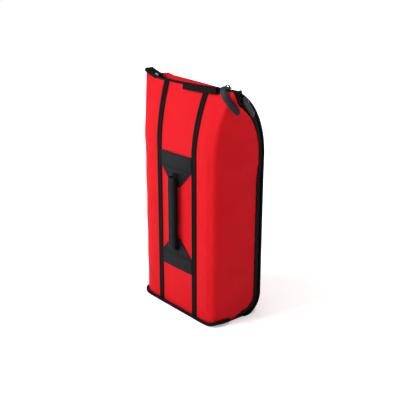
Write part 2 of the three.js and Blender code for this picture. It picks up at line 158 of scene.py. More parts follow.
@dataclass(frozen=True)
class ClothFinish:
    """A woven cloth: plain weave of two tones with a soft sheen and slow patches of wear."""

    name: str
    colour: str
    shade: str
    thread: float = 0.9 * MM
    roughness: float = 0.7
    sheen: float = 0.25
    bump: float = 0.25
    specular: float = 0.3
    slub: float = 0.35

    def build(self) -> bpy.types.Material:
        """Build the material.

        Returns:
            The finished material.
        """
        material, add, place = started(self.name)
        parts = add("ShaderNodeSeparateXYZ", {0: place})
        # warp follows x and y together, so that front and side cloth both show it; weft follows height
        across = add("ShaderNodeMath", {0: parts.outputs[0], 1: parts.outputs[1]}, operation="ADD")
        waves = []
        for source in (across.outputs[0], parts.outputs[2]):
            angle = add("ShaderNodeMath", {0: source, 1: math.pi / self.thread}, operation="MULTIPLY")
            sine = add("ShaderNodeMath", {0: angle.outputs[0]}, operation="SINE")
            waves.append(sine.outputs[0])
        weave = add("ShaderNodeMath", {0: waves[0], 1: waves[1]}, operation="MULTIPLY")
        fibre = add("ShaderNodeTexNoise", {"Vector": place, "Scale": 1 / FIBRE_SIZE, "Detail": 4.0})
        wear = add("ShaderNodeTexNoise", {"Vector": place, "Scale": 1 / CLOTH_WEAR_SIZE, "Detail": 5.0})
        mixed = add("ShaderNodeMath", {0: weave.outputs[0], 1: 0.25, 2: 0.1}, operation="MULTIPLY_ADD")
        slub = add("ShaderNodeMath", {0: fibre.outputs[0], 1: self.slub, 2: mixed.outputs[0]},
            operation="MULTIPLY_ADD")
        tone = add("ShaderNodeMath", {0: wear.outputs[0], 1: 0.4, 2: slub.outputs[0]},
            operation="MULTIPLY_ADD", use_clamp=True)
        colour = add("ShaderNodeMix", {0: tone.outputs[0], 6: linear(self.colour), 7: linear(self.shade)},
            data_type="RGBA")
        height = add("ShaderNodeMath", {0: weave.outputs[0], 1: 0.5, 2: slub.outputs[0]},
            operation="MULTIPLY_ADD")
        bump = add("ShaderNodeBump",
            {"Height": height.outputs[0], "Strength": self.bump, "Distance": self.thread})
        rough = add("ShaderNodeMath", {0: wear.outputs[0], 1: 0.12, 2: self.roughness - 0.06},
            operation="MULTIPLY_ADD")
        shader = add("ShaderNodeBsdfPrincipled", {
            "Base Color": colour.outputs[2], "Roughness": rough.outputs[0], "Normal": bump.outputs[0],
            "Sheen Weight": self.sheen, "Sheen Roughness": 0.5, "Specular IOR Level": self.specular})
        add("ShaderNodeOutputMaterial", {0: shader.outputs[0]})
        return material


@dataclass(frozen=True)
class HardFinish:
    """A hard or moulded surface: fine grain, worn patches and an even gloss."""

    name: str
    colour: str
    roughness: float
    metallic: float = 0.0
    specular: float = 0.5
    grain: float = 0.8 * MM
    bump: float = 0.08

    def build(self) -> bpy.types.Material:
        """Build the material.

        Returns:
            The finished material.
        """
        material, add, place = started(self.name)
        grain = add("ShaderNodeTexNoise", {"Vector": place, "Scale": 1 / self.grain, "Detail": 3.0})
        wear = add("ShaderNodeTexNoise", {"Vector": place, "Scale": 1 / HARD_WEAR_SIZE, "Detail": 5.0})
        dark = linear(self.colour)
        light = (*(min(1.0, c * 1.5 + 0.004) for c in dark[:3]), 1.0)
        colour = add("ShaderNodeMix", {0: wear.outputs[0], 6: dark, 7: light}, data_type="RGBA")
        rough = add("ShaderNodeMath", {0: wear.outputs[0], 1: 0.2, 2: self.roughness - 0.1},
            operation="MULTIPLY_ADD")
        bump = add("ShaderNodeBump",
            {"Height": grain.outputs[0], "Strength": self.bump, "Distance": self.grain})
        shader = add("ShaderNodeBsdfPrincipled", {
            "Base Color": colour.outputs[2], "Roughness": rough.outputs[0], "Normal": bump.outputs[0],
            "Metallic": self.metallic, "Specular IOR Level": self.specular})
        add("ShaderNodeOutputMaterial", {0: shader.outputs[0]})
        return material


class Finishes:
    """Every finish of the case, built once."""

    def __init__(self) -> None:
        """Build all materials."""
        # coated nylon, saturated red, matt with a faint sheen
        self.red = ClothFinish("red_woven_nylon", "c00a17", "a5060f", sheen=0.0, specular=0.08,
                               bump=0.35).build()
        # dense polyester webbing, close to black, dull
        self.webbing = ClothFinish("black_polyester_webbing", "080608", "040304", thread=1.2 * MM,
                                   bump=0.5, sheen=0.0, specular=0.06).build()
        # binding tape over cord, a little blue
        self.piping = ClothFinish("black_binding_tape", "08090c", "040506", bump=0.4, sheen=0.0,
                                  specular=0.08).build()
        # coated oxford cloth, charcoal, a little lighter than the tapes
        self.charcoal = ClothFinish("charcoal_coated_oxford", "0a0e13", "06090d", specular=0.08, sheen=0.0,
                                    roughness=0.55).build()
        # knitted zipper tape, black and dull
        self.tape = ClothFinish("zipper_tape_knit", "08090b", "040506", bump=0.5, sheen=0.0,
                                specular=0.06).build()
        # taffeta lining, grey
        self.lining = ClothFinish("grey_taffeta_lining", "6a6d70", "54575a").build()
        # glass fibre cloth with a silicone coat, off white
        self.glass = ClothFinish("coated_glass_fibre_cloth", "dcd8cc", "c2bdae", thread=1.1 * MM,
                                 sheen=0.05).build()
        # polyester sewing thread, black
        self.thread = ClothFinish("polyester_thread", "0c0d10", "07080a", thread=0.4 * MM, sheen=0.0,
                                  specular=0.1).build()
        # nylon coil, slightly shiny
        self.coil = HardFinish("nylon_coil", "0c0d0f", 0.4, specular=0.25).build()
        # die-cast zinc with black enamel, catches small highlights
        self.enamel = HardFinish("black_enamelled_zinc", "0c0d0f", 0.28, metallic=0.4).build()
        # moulded rubbery PVC, matt
        self.rubber = HardFinish("moulded_soft_pvc", "0a0e13", 0.55, bump=0.2, specular=0.2).build()
        # closed cell foam board
        self.foam = HardFinish("closed_cell_foam", "3b3c3f", 0.9, grain=1.5 * MM, bump=0.5).build()
        # plain zinc end stop, dulled grey
        self.zinc = HardFinish("bare_zinc", "6f7479", 0.5, metallic=0.2, specular=0.3).build()


# ---------------------------------------------------------------- meshes


def finished(name: str, points: Grid, faces: Iterable[Sequence[int]], material: bpy.types.Material,
             smooth: bool = True) -> bpy.types.Object:
    """Make a mesh object at the origin with one material.

    Args:
        name: The piece's name.
        points: Vertices in metres, in the part's frame.
        faces: Vertex numbers of each face.
        material: The piece's material.
        smooth: Whether the faces are shaded smooth.

    Returns:
        The new object, linked to the scene.
    """
    mesh = bpy.data.meshes.new(name)
    places = CaseShape().relaxed(np.asarray(points, float).reshape(-1, 3))
    mesh.from_pydata([tuple(p) for p in places], [], [tuple(f) for f in faces])
    mesh.materials.append(material)
    mesh.validate()
    if signed_volume(mesh) < 0:
        mesh.flip_normals()
    mesh.polygons.foreach_set("use_smooth", [smooth] * len(mesh.polygons))
    piece = bpy.data.objects.new(name, mesh)
    bpy.context.scene.collection.objects.link(piece)
    if smooth:
        mesh.set_sharp_from_angle(angle=SHARP_ANGLE)
    return piece


def signed_volume(mesh: bpy.types.Mesh) -> float:
    """Return a closed mesh's volume, negative where it is inside out."""
    mesh.calc_loop_triangles()
    points = np.zeros(len(mesh.vertices) * 3)
    corners = np.zeros(len(mesh.loop_triangles) * 3, int)
    mesh.vertices.foreach_get("co", points)
    mesh.loop_triangles.foreach_get("vertices", corners)
    a, b, c = points.reshape(-1, 3)[corners.reshape(-1, 3)].transpose(1, 0, 2)
    return float(np.einsum("ij,ij->i", a, np.cross(b, c)).sum())


def loft(name: str, rings: Grid, material: bpy.types.Material, capped: bool = True,
         smooth: bool = True) -> bpy.types.Object:
    """Skin closed rings that all have the same even count of points.

    Args:
        name: The piece's name.
        rings: Array of rings, points per ring, 3.
        material: The piece's material.
        capped: Whether both ends are closed.
        smooth: Whether the faces are shaded smooth.

    Returns:
        The finished piece.
    """
    rows, count = rings.shape[:2]
    faces = [(r * count + i, r * count + (i + 1) % count,
              (r + 1) * count + (i + 1) % count, (r + 1) * count + i)
             for r in range(rows - 1) for i in range(count)]
    if capped:
        for start, flip in ((0, True), ((rows - 1) * count, False)):
            for i in range(count // 2 - 1):
                quad = (start + i, start + i + 1, start + count - 2 - i, start + count - 1 - i)
                faces.append(quad[::-1] if flip else quad)
    return finished(name, rings, faces, material, smooth)


def grid_normals(grid: Grid, side: float) -> Grid:
    """Return unit normals of a grid of points; side is plus or minus one, so that they point out."""
    cross = np.cross(np.gradient(grid, axis=1), np.gradient(grid, axis=0))
    return side * cross / np.maximum(np.linalg.norm(cross, axis=2, keepdims=True), 1e-12)


def cloth(name: str, grid: Grid, normals: Grid, low: float, high: float,
          material: bpy.types.Material) -> bpy.types.Object:
    """Make cloth of one thickness between two offsets of a surface.

    Args:
        name: The piece's name.
        grid: The surface's points.
        normals: Its outward normals.
        low: Inner offset in metres.
        high: Outer offset in metres.
        material: The piece's material.

    Returns:
        The finished piece.
    """
    outer, inner = grid + normals * high, grid + normals * low
    return loft(name, np.concatenate([outer, inner[:, ::-1]], axis=1), material)


def swept(name: str, line: "Line", profile: Sequence[tuple[float, float]], material: bpy.types.Material,
          smooth: bool = True) -> bpy.types.Object:
    """Sweep a profile of even count along a line.

    Args:
        name: The piece's name.
        line: Points with their sideways and outward directions.
        profile: Pairs of sideways and outward offset in metres.
        material: The piece's material.
        smooth: Whether the faces are shaded smooth.

    Returns:
        The finished piece.
    """
    shape = np.array(profile)
    rings = (line.p[:, None] + line.s[:, None] * shape[None, :, :1] + line.n[:, None] * shape[None, :, 1:])
    return loft(name, rings, material, smooth=smooth)


def round_profile(across: float, out: float, radius: float, count: int = 12) -> list[tuple[float, float]]:
    """Return a round profile for a sweep."""
    angles = [2 * math.pi * (i + 0.5) / count for i in range(count)]
    return [(across + radius * math.cos(a), out + radius * math.sin(a)) for a in angles]


def strap_profile(low: float, high: float, bottom: float, top: float) -> list[tuple[float, float]]:
    """Return the profile of a strap with softened edges.

    Args:
        low: One edge, sideways.
        high: The other edge.
        bottom: Underside.
        top: Upper side.

    Returns:
        Pairs of sideways and outward offsets, an even number.
    """
    soft = min(abs(top - bottom) * 0.45, abs(high - low) * 0.2)
    sign = 1 if high > low else -1
    upper = [(low + sign * soft, top), (high - sign * soft, top), (high, top - soft)]
    lower = [(high, bottom + soft), (high - sign * soft, bottom), (low + sign * soft, bottom)]
    return [(low, top - soft), *upper, *lower, (low, bottom + soft)]


@dataclass
class Line:
    """A line with a sideways and an outward direction at each point."""

    p: Grid
    s: Grid
    n: Grid

    @classmethod
    def straight(cls, p: Grid, s: Point, n: Point) -> "Line":
        """Return a line whose directions never turn."""
        return cls(p, np.tile(s, (len(p), 1)), np.tile(n, (len(p), 1)))

    def shifted(self, across: float, out: float) -> "Line":
        """Return the line moved sideways and outward."""
        return Line(self.p + self.s * across + self.n * out, self.s, self.n)

    def mirrored(self) -> "Line":
        """Return the line on the other side of the case."""
        flip = np.array([-1.0, 1.0, 1.0])
        return Line(self.p * flip, self.s * flip, self.n * flip)

    def reversed(self) -> "Line":
        """Return the line run from its other end."""
        return Line(self.p[::-1], self.s[::-1], self.n[::-1])

    def joined(self, other: "Line") -> "Line":
        """Return this line with another one after it."""
        pairs = ((self.p, other.p), (self.s, other.s), (self.n, other.n))
        return Line(*(np.concatenate(pair) for pair in pairs))


def unit(v: Grid) -> Grid:
    """Return vectors at length one."""
    return v / np.maximum(np.linalg.norm(v, axis=-1, keepdims=True), 1e-12)


def settle(piece: bpy.types.Object, body: Body, slot: str, *nodes: str) -> bpy.types.Object:
    """Tie a piece to its body and hide the CAD nodes that it stands for.

    Args:
        piece: The finished piece.
        body: The body that it rides on.
        slot: Not used.
        *nodes: CAD nodes that it replaces.

    Returns:
        The same piece.
    """
    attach(piece, body.value)
    if nodes:
        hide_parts(*nodes)
    log.info("%s rides on %s, %d faces", piece.name, body.value, len(piece.data.polygons))
    return piece


# ------------------------------------------------------- repeated details


@dataclass(frozen=True)
class Repeat:
    """Geometry Nodes tree that sets one small oval bead after another along lines."""

    name: str
    pitch: float
    size: Point  # along the line, across it, out of the cloth
    segments: int = 8
    rings: int = 5

    def tree(self) -> bpy.types.NodeTree:
        """Build the tree.

        Returns:
            The tree, with inputs Pitch, Size and Finish.
        """
        tree = bpy.data.node_groups.new(self.name, "GeometryNodeTree")
        for name, way, kind in (("Geometry", "INPUT", "Geometry"), ("Pitch", "INPUT", "Float"),
                                ("Size", "INPUT", "Vector"), ("Finish", "INPUT", "Material"),
                                ("Geometry", "OUTPUT", "Geometry")):
            tree.interface.new_socket(name, in_out=way, socket_type=f"NodeSocket{kind}")
        add = partial(node, tree)
        given = add("NodeGroupInput")
        curve = add("GeometryNodeMeshToCurve", {"Mesh": given.outputs["Geometry"]})
        spaced = add("GeometryNodeResampleCurve",
            {"Curve": curve.outputs[0], "Length": given.outputs["Pitch"]}, mode="LENGTH")
        bead = add("GeometryNodeMeshUVSphere",
            {"Segments": self.segments, "Rings": self.rings, "Radius": 0.5})
        tangent = add("GeometryNodeInputTangent")
        along = add("FunctionNodeAlignRotationToVector", {"Vector": tangent.outputs[0]}, axis="X")
        facing = add("GeometryNodeInputNamedAttribute", {"Name": "facing"}, data_type="FLOAT_VECTOR")
        turned = add("FunctionNodeAlignRotationToVector",
            {"Rotation": along.outputs[0], "Vector": facing.outputs[0]}, axis="Z", pivot_axis="X")
        placed = add("GeometryNodeInstanceOnPoints", {
            "Points": spaced.outputs[0], "Instance": bead.outputs[0],
            "Rotation": turned.outputs[0], "Scale": given.outputs["Size"]})
        real = add("GeometryNodeRealizeInstances", {0: placed.outputs[0]})
        dressed = add("GeometryNodeSetMaterial",
            {"Geometry": real.outputs[0], "Material": given.outputs["Finish"]})
        smooth = add("GeometryNodeSetShadeSmooth", {0: dressed.outputs[0]})
        add("NodeGroupOutput", {0: smooth.outputs[0]})
        return tree

    def lay(self, name: str, lines: Sequence[Line], material: bpy.types.Material) -> bpy.types.Object:
        """Lay beads along lines and turn them into a plain mesh.

        Args:
            name: The piece's name.
            lines: Lines in the part's frame.
            material: The beads' material.

        Returns:
            The finished piece.
        """
        points = CaseShape().relaxed(np.concatenate([line.p for line in lines]))
        edges, start = [], 0
        for line in lines:
            edges += [(start + i, start + i + 1) for i in range(len(line.p) - 1)]
            start += len(line.p)
        mesh = bpy.data.meshes.new(name + "_lines")
        mesh.from_pydata([tuple(p) for p in points], edges, [])
        facing = mesh.attributes.new("facing", "FLOAT_VECTOR", "POINT")
        outward = np.concatenate([line.n for line in lines]).astype(np.float32)
        facing.data.foreach_set("vector", outward.ravel())
        guide = bpy.data.objects.new(name + "_lines", mesh)
        bpy.context.scene.collection.objects.link(guide)
        tree = self.tree()
        modifier = guide.modifiers.new("beads", "NODES")
        modifier.node_group = tree
        values = {"Pitch": self.pitch, "Size": self.size, "Finish": material}
        for item in tree.interface.items_tree:
            if item.item_type == "SOCKET" and item.in_out == "INPUT" and item.name in values:
                modifier[item.identifier] = values[item.name]
        bpy.context.view_layer.update()
        graph = bpy.context.evaluated_depsgraph_get()
        made = bpy.data.meshes.new_from_object(guide.evaluated_get(graph), depsgraph=graph)
        bpy.data.objects.remove(guide)
        made.name = name
        piece = bpy.data.objects.new(name, made)
        bpy.context.scene.collection.objects.link(piece)
        return piece


STITCH = Repeat("sewn_stitches", 4.2 * MM, (3.0 * MM, 0.8 * MM, 0.7 * MM))
TEETH = Repeat("zipper_teeth", 1.9 * MM, (1.25 * MM, 3.0 * MM, 1.5 * MM))


# ------------------------------------------------------------ case shape


@dataclass(frozen=True)
class CaseShape:
    """The case's outline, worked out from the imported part."""

    half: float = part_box("base_panel")[1][0] + 2.1 * MM
    front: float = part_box("front_shell")[0][1]
    back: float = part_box("back_panel")[1][1]
    ridge_z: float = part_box("shell_tape_ridge")[1][2] + 2.9 * MM
    ridge_setback: float = 38 * MM
    ear: float = 24 * MM
    shoulder_r: float = 150 * MM
    rear_r: float = 48 * MM
    corner_r: float = 20 * MM
    ear_r: float = 5 * MM
    lean_start: float = 362 * MM
    edge_at: float = 10 * MM
    strip_inner: float = 50 * MM
    strip_width: float = 14 * MM
    twist: float = 57 * MM       # height over which the side turns to the shoulder's direction
    lean_power: float = 1.7
    settled: float = 60 * MM     # depth below the ridge that the settling reaches
    sag: float = 2.0 * MM        # of the ridge between its ends
    kick: float = 14 * MM        # of the left ridge end
    kick_from: float = 88 * MM   # from the centre line
    foot_lift: float = 7 * MM    # of the front corners
    foot_reach: float = 80 * MM  # up from the floor

    @property
    def ridge_y(self) -> float:
        """Depth of the ridge line."""
        return self.front + self.ridge_setback

    @property
    def plan(self) -> Grid:
        """Plan direction of the shoulder, back to front."""
        return unit(np.array([self.ear, self.ridge_y - self.back, 0.0]))

    @property
    def side_out(self) -> Grid:
        """Outward direction of the shoulder's side cloth."""
        return np.array([-self.plan[1], self.plan[0], 0.0])

    @property
    def run(self) -> float:
        """Plan length of the shoulder."""
        return math.hypot(self.ear, self.back - self.ridge_y)

    @property
    def ear_angle(self) -> float:
        """Angle of the shoulder's arc at the ridge."""
        return math.acos(1 - self.run / self.shoulder_r)

    @property
    def ear_stop(self) -> float:
        """Angle at which the side zipper starts to turn on to the ridge."""
        return self.ear_angle - math.radians(4)

    @property
    def shoulder_z(self) -> float:
        """Height at which the shoulder starts."""
        return self.ridge_z - self.shoulder_r * math.sin(self.ear_angle)

    def edge(self, steps: tuple[int, int, int], stop: float, start: float = 0.0) -> tuple[Line, Grid]:
        """Return the right side's outer edge from the floor to the ridge end.

        Args:
            steps: Points on the lower round, the upright and the shoulder.
            stop: Last angle of the shoulder.
            start: First angle of the lower round.

        Returns:
            The line on the edge, whose sideways direction points away from the
            case's middle, and for each point its height on the lower part or
            one plus its share of the shoulder.
        """
        p, s, n, share = [], [], [], []
        for a in np.linspace(start, math.pi / 2, steps[0], endpoint=False):
            p.append((self.half, self.back - self.rear_r * (1 - math.sin(a)),
                      self.rear_r * (1 - math.cos(a))))
            s.append((0, math.sin(a), -math.cos(a)))
            n.append((1, 0, 0))
            share.append(p[-1][2] / self.shoulder_z)
        twist_start = self.shoulder_z - self.twist
        for z in np.linspace(self.rear_r, self.shoulder_z, steps[1], endpoint=False):
            t = min(max((z - twist_start) / (self.shoulder_z - twist_start), 0), 1)
            t = t * t * (3 - 2 * t)
            p.append((self.half, self.back, z))
            s.append(-unit((1 - t) * np.array([0, -1.0, 0]) + t * self.plan))
            n.append(unit((1 - t) * np.array([1.0, 0, 0]) + t * self.side_out))
            share.append(z / self.shoulder_z)
        for a in np.linspace(0, stop, steps[2]):
            p.append(np.array([self.half, self.back, self.shoulder_z + self.shoulder_r * math.sin(a)])
                     + self.plan * self.shoulder_r * (1 - math.cos(a)))
            s.append(-(self.plan * math.cos(a) + np.array([0, 0, -math.sin(a)])))
            n.append(self.side_out)
            share.append(1 + a / self.ear_stop)
        return Line(np.array(p, float), np.array(s, float), np.array(n, float)), np.array(share)

    def front_y(self, z: float) -> float:
        """Return the front face's depth at a height: upright, then leaning back to the ridge."""
        top_y, top_z = self.ridge_y - self.edge_at, self.ridge_z - 1 * MM
        lean = min(max((z - self.lean_start) / (top_z - self.lean_start), 0), 1)
        return self.front + (top_y - self.front) * lean ** self.lean_power

    def relaxed(self, points: Grid) -> Grid:
        """Let the case settle: the ridge sags, its left end kicks up and the front corners lift.

        Args:
            points: Points in the part's frame.

        Returns:
            The moved points.
        """
        moved = np.array(points, float)
        x, z = moved[..., 0], moved[..., 2]
        near = np.clip((z - self.ridge_z + self.settled) / (self.settled - 2 * MM), 0, 1)
        near = near * near * (3 - 2 * near)
        sag = -self.sag * np.clip(1 - (x / (self.half - self.corner_r)) ** 2, 0, 1)
        kick = self.kick * np.clip((-x - self.kick_from) / (56 * MM), 0, 1) ** 1.6
        low = np.clip(1 - z / self.foot_reach, 0, 1) ** 1.5
        corner = np.clip((np.abs(x) - 80 * MM) / (42 * MM), 0, 1) ** 2
        corner *= np.clip((-moved[..., 1] - 10 * MM) / (50 * MM), 0, 1)
        moved[..., 2] += near * (sag + kick) + self.foot_lift * low * corner
        return moved

    def corner(self, share: float) -> tuple[Grid, float]:
        """Return the soft front corner's apex and radius.

        Args:
            share: As edge() gives it.

        Returns:
            The apex on the right side and the corner's radius.
        """
        if share <= 1:
            return np.array([self.half, self.front, share * self.shoulder_z]), self.corner_r
        k = share - 1
        z = self.shoulder_z + k * (self.ridge_z - 1 * MM - self.shoulder_z)
        return np.array([self.half + (self.ear - 4 * MM) * k ** 2.4, self.front_y(z), z]), (
            self.corner_r + (self.ear_r - self.corner_r) * k)

    def zipper_side(self, steps: tuple[int, int, int], start: float = 0.0) -> Line:
        """Return the zipper's centre line up the right side."""
        return self.edge(steps, self.ear_stop, start)[0].shifted(-self.edge_at, 0)

    def zipper(self, start: float = 0.0) -> Line:
        """Return the zipper's centre line: up the right, along the ridge, down the left."""
        right = self.zipper_side((16, 60, 60), start)
        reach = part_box("shell_tape_ridge")[1][0]
        tip = np.array([self.half + self.ear, self.ridge_y, self.ridge_z]) - 0.5 * MM
        end = np.array([reach, self.ridge_y, self.ridge_z])
        t = np.linspace(0, 1, 14)[1:-1, None]
        p = right.p[-1] * (1 - t) ** 2 + tip * 2 * t * (1 - t) + end * t ** 2
        s = unit(right.s[-1] * (1 - t) + np.array([0, 1.0, 0]) * t)
        n = unit(right.n[-1] * (1 - t) + np.array([0, 0, 1.0]) * t)
        n = unit(n - s * (n * s).sum(1, keepdims=True))
        half = right.joined(Line(p, s, n))
        x = np.linspace(reach, -reach, 80)
        ridge = Line.straight(np.stack([x, np.full_like(x, self.ridge_y), np.full_like(x, self.ridge_z)], 1),
                              BACK, UP)
        return half.joined(ridge).joined(half.mirrored().reversed())


def wave(x: Grid, length: float, phase: float) -> Grid:
    """Return a sine of one wavelength and phase."""
    return np.sin(2 * np.pi * x / length + phase)


@dataclass
class Shell:
    """Front and side cloth in one piece, with its lining and foot."""

    shape: CaseShape
    finish: Finishes
    skin: float = 1.4 * MM
    side_columns: int = 28
    turn_columns: int = 14
    puff: float = 2.2 * MM       # of the front between its seams
    bulge: float = 2.6 * MM      # of each side
    fold: float = 0.75 * MM      # height of the side's folds
    foot_r: float = 3.4 * MM     # round of the foot piping
    heel_r: float = 2.7 * MM     # round of the heel piping
    heel_in: float = 2.6 * MM    # heel piping to the cloth edge
    heel_steps: int = 13
    grid: Grid = field(init=False)
    normals: Grid = field(init=False)
    strip_columns: tuple[int, int] = field(init=False)

    def front_puff(self, x: Grid, z: Grid) -> Grid:
        """Return how far the front cloth stands proud between its seams.

        Args:
            x: Distance from the centre line.
            z: Height.

        Returns:
            Outward offset in metres.
        """
        s = self.shape
        inner, outer = s.strip_inner, s.strip_inner + s.strip_width
        a = np.abs(x)
        middle = np.clip(1 - (a / inner) ** 2, 0, 1) * 0.5
        outside = np.sin(np.pi * np.clip((a - outer) / (s.half - 12 * MM - outer), 0, 1)) ** 0.8
        creases = 0.12 * wave(z + 0.3 * a, 0.115, 0.4) + 0.08 * wave(z - 0.5 * a, 0.071, 1.9)
        return self.puff * (middle + outside * (1 + creases)) * np.clip(z / 0.03, 0, 1)

    def build_surface(self) -> None:
        """Work out the outer surface and its normals."""
        s = self.shape
        edge, share = s.edge((14, 92, 64), s.ear_stop)
        strip_outer = s.strip_inner + s.strip_width
        fronts = [strip_outer, strip_outer - 2 * MM, s.strip_inner + s.strip_width / 2,
                  s.strip_inner + 2 * MM, s.strip_inner]
        rows, puffs = [], []
        for i, k in enumerate(share):
            turn, radius = s.corner(k)
            above = max(k - 1, 0)
            start = edge.p[i] - edge.s[i] * (2 * s.edge_at + 7 * MM * above ** 2)
            away = start - turn
            reach = min(radius, np.linalg.norm(away) / 2)
            a = turn + unit(away) * reach
            b = turn + np.array([-radius, 0, 0])
            side = np.linspace(0, 1, self.side_columns, endpoint=False)
            arc = np.linspace(0, 1, self.turn_columns, endpoint=False)[:, None]
            inner = np.linspace(s.strip_inner, 0, 17)[1:]
            spread = 1 + 0.13 * above ** 1.5
            flat = np.linspace(b[0], fronts[0] * spread, 12, endpoint=False)
            xs = np.concatenate([flat, np.array(fronts) * spread, inner * spread])
            flank = start + (a - start) * side[:, None]
            if k * s.shoulder_z < s.rear_r:
                flank[:, 2] = a[2] + (start[2] - a[2]) * (1 - side) ** 2.4
            half = np.concatenate([
                flank,
                a * (1 - arc) ** 2 + turn * 2 * arc * (1 - arc) + b * arc ** 2,
                np.stack([xs, np.full_like(xs, turn[1]), np.full_like(xs, turn[2])], 1)])
            z = turn[2]
            fade = np.clip(z / 0.03, 0, 1) * (1 - 0.7 * above ** 2)
            bulge = self.bulge * np.sin(np.pi * side) ** 0.8
            ripple = np.exp(-side / 0.25) * (
                0.35 * MM * wave(z, 0.021, side * 2) + 0.25 * MM * wave(z, 0.034, 1.1))
            folds = self.fold * np.sin(np.pi * side) * (
                wave(z + 12 * MM * side, 0.083, 0.2) + 0.6 * wave(z - 20 * MM * side, 0.047, 2.2))
            puff = np.concatenate([(bulge + ripple + folds) * fade,
                                   0.4 * MM * np.sin(np.pi * arc[:, 0]) * wave(z, 0.09, 0.6) * fade,
                                   self.front_puff(xs, np.full_like(xs, z)) * (1 - 0.7 * above)])
            left = half[:-1][::-1] * np.array([-1, 1, 1])
            rows.append(np.concatenate([half, left]))
            puffs.append(np.concatenate([puff, puff[:-1][::-1]]))
        base, puff = np.array(rows), np.array(puffs)
        normals = grid_normals(base, -1)
        self.grid = base + normals * puff[:, :, None]
        self.normals = grid_normals(self.grid, -1)
        first = self.side_columns + self.turn_columns + 12
        self.strip_columns = (first, first + 4)

    def front_point(self, x: float, z: float, lift: float) -> Point:
        """Return a point on the flat front, lifted off the cloth."""
        return (x, self.shape.front_y(z) - float(self.front_puff(np.array(x), np.array(z))) - lift, z)

    def seam(self, column: int, lift: float, first: int = 0, last: int | None = None) -> Line:
        """Return a line up one column of the cloth."""
        p = self.grid[first:last, column] + self.normals[first:last, column] * lift
        n = self.normals[first:last, column]
        return Line(p, unit(np.cross(n, np.gradient(p, axis=0))), n)

    def build(self) -> None:
        """Make and dress the shell, its strips, lining and foot."""
        self.build_surface()
        look = self.finish
        settle(cloth("shell_cloth", self.grid, self.normals, -self.skin, 0, look.red),
               Body.CASE, "red_woven_nylon", "front_shell")
        inside = slice(10, len(self.grid) - 26, 2)
        rows, normals = self.grid[inside, 2:-2:2], self.normals[inside, 2:-2:2]
        settle(cloth("shell_inner_lining", rows, normals, -3.2 * MM, -2.2 * MM, look.lining),
               Body.CASE, "grey_lining", "shell_lining")
        first, last = self.strip_columns
        mirror = self.grid.shape[1] - 1
        foot = int(np.argmax(self.grid[:, first, 2] > 6.5 * MM))
        seams = []
        for name, a, b in (("right", first, last), ("left", mirror - last, mirror - first)):
            patch = (slice(foot, None), slice(a, b + 1))
            settle(cloth(f"tape_strip_{name}", self.grid[patch], self.normals[patch], 0.2 * MM, 1.6 * MM,
                         look.webbing), Body.CASE, "black_webbing", f"strip_{name}")
            seams += [self.seam(a + 1, 1.75 * MM, foot), self.seam(b - 1, 1.75 * MM, foot)]
        settle(STITCH.lay("strip_stitches", seams, look.thread), Body.CASE, "black_webbing")
        self.foot()

    def foot(self) -> None:
        """Make the bound piping round the foot."""
        base = self.grid[0]
        outward = unit(self.normals[0] * np.array([1, 1, 0]))
        radius = self.foot_r
        rise = np.clip(base[:, 2] / base[:, 2].max(), 0, 1)
        p = base + outward * (radius - 0.6 * MM) * (1 - rise[:, None] ** 2)
        p[:, 2] = base[:, 2] + (radius + 0.7 * MM) * (1 - rise) - self.heel_in * rise
        line = Line(p, outward, np.tile(UP, (len(p), 1)))
        bound = strap_profile(-radius * 0.2, 0.9 * MM, 0, 5.2 * MM)
        look = self.finish
        settle(swept("foot_piping", line, round_profile(0, 0, radius, 14), look.piping),
               Body.CASE, "black_piping", "bottom_piping")
        settle(swept("foot_binding", line, bound, look.piping), Body.CASE, "black_piping")
        edge, _ = self.shape.edge((24, 1, 2), 0.01)
        heel = Line(*(part[:self.heel_steps] for part in (edge.p, edge.s, edge.n)))
        gusset = strap_profile(-17 * MM, -1.5 * MM, -3.2 * MM, -1.2 * MM)
        for name, rise_line, profile, material, slot in (
                ("heel_piping", heel.shifted(-self.heel_in, -0.3 * MM), round_profile(0, 0, self.heel_r),
                 look.piping, "black_piping"),
                ("heel_gusset", heel, gusset, look.tape, "black_webbing")):
            for side, turned in (("right", rise_line), ("left", rise_line.mirrored())):
                settle(swept(f"{name}_{side}", turned, profile, material), Body.CASE, slot)
        for side, flip in (("right", 1), ("left", -1)):
            top = base[:self.side_columns] * np.array([flip, 1, 1]) - np.array([1.5 * flip * MM, 0, 0])
            foot_line = top * np.array([1, 1, 0]) + np.array([0, 0, 0.6 * MM])
            wall = np.stack([top, (top + foot_line) / 2, foot_line])
            normals = np.tile([float(flip), 0.0, 0.0], (*wall.shape[:2], 1))
            settle(cloth(f"heel_wall_{side}", wall, normals, -1.2 * MM, 0, look.tape), Body.CASE,
                   "black_webbing")


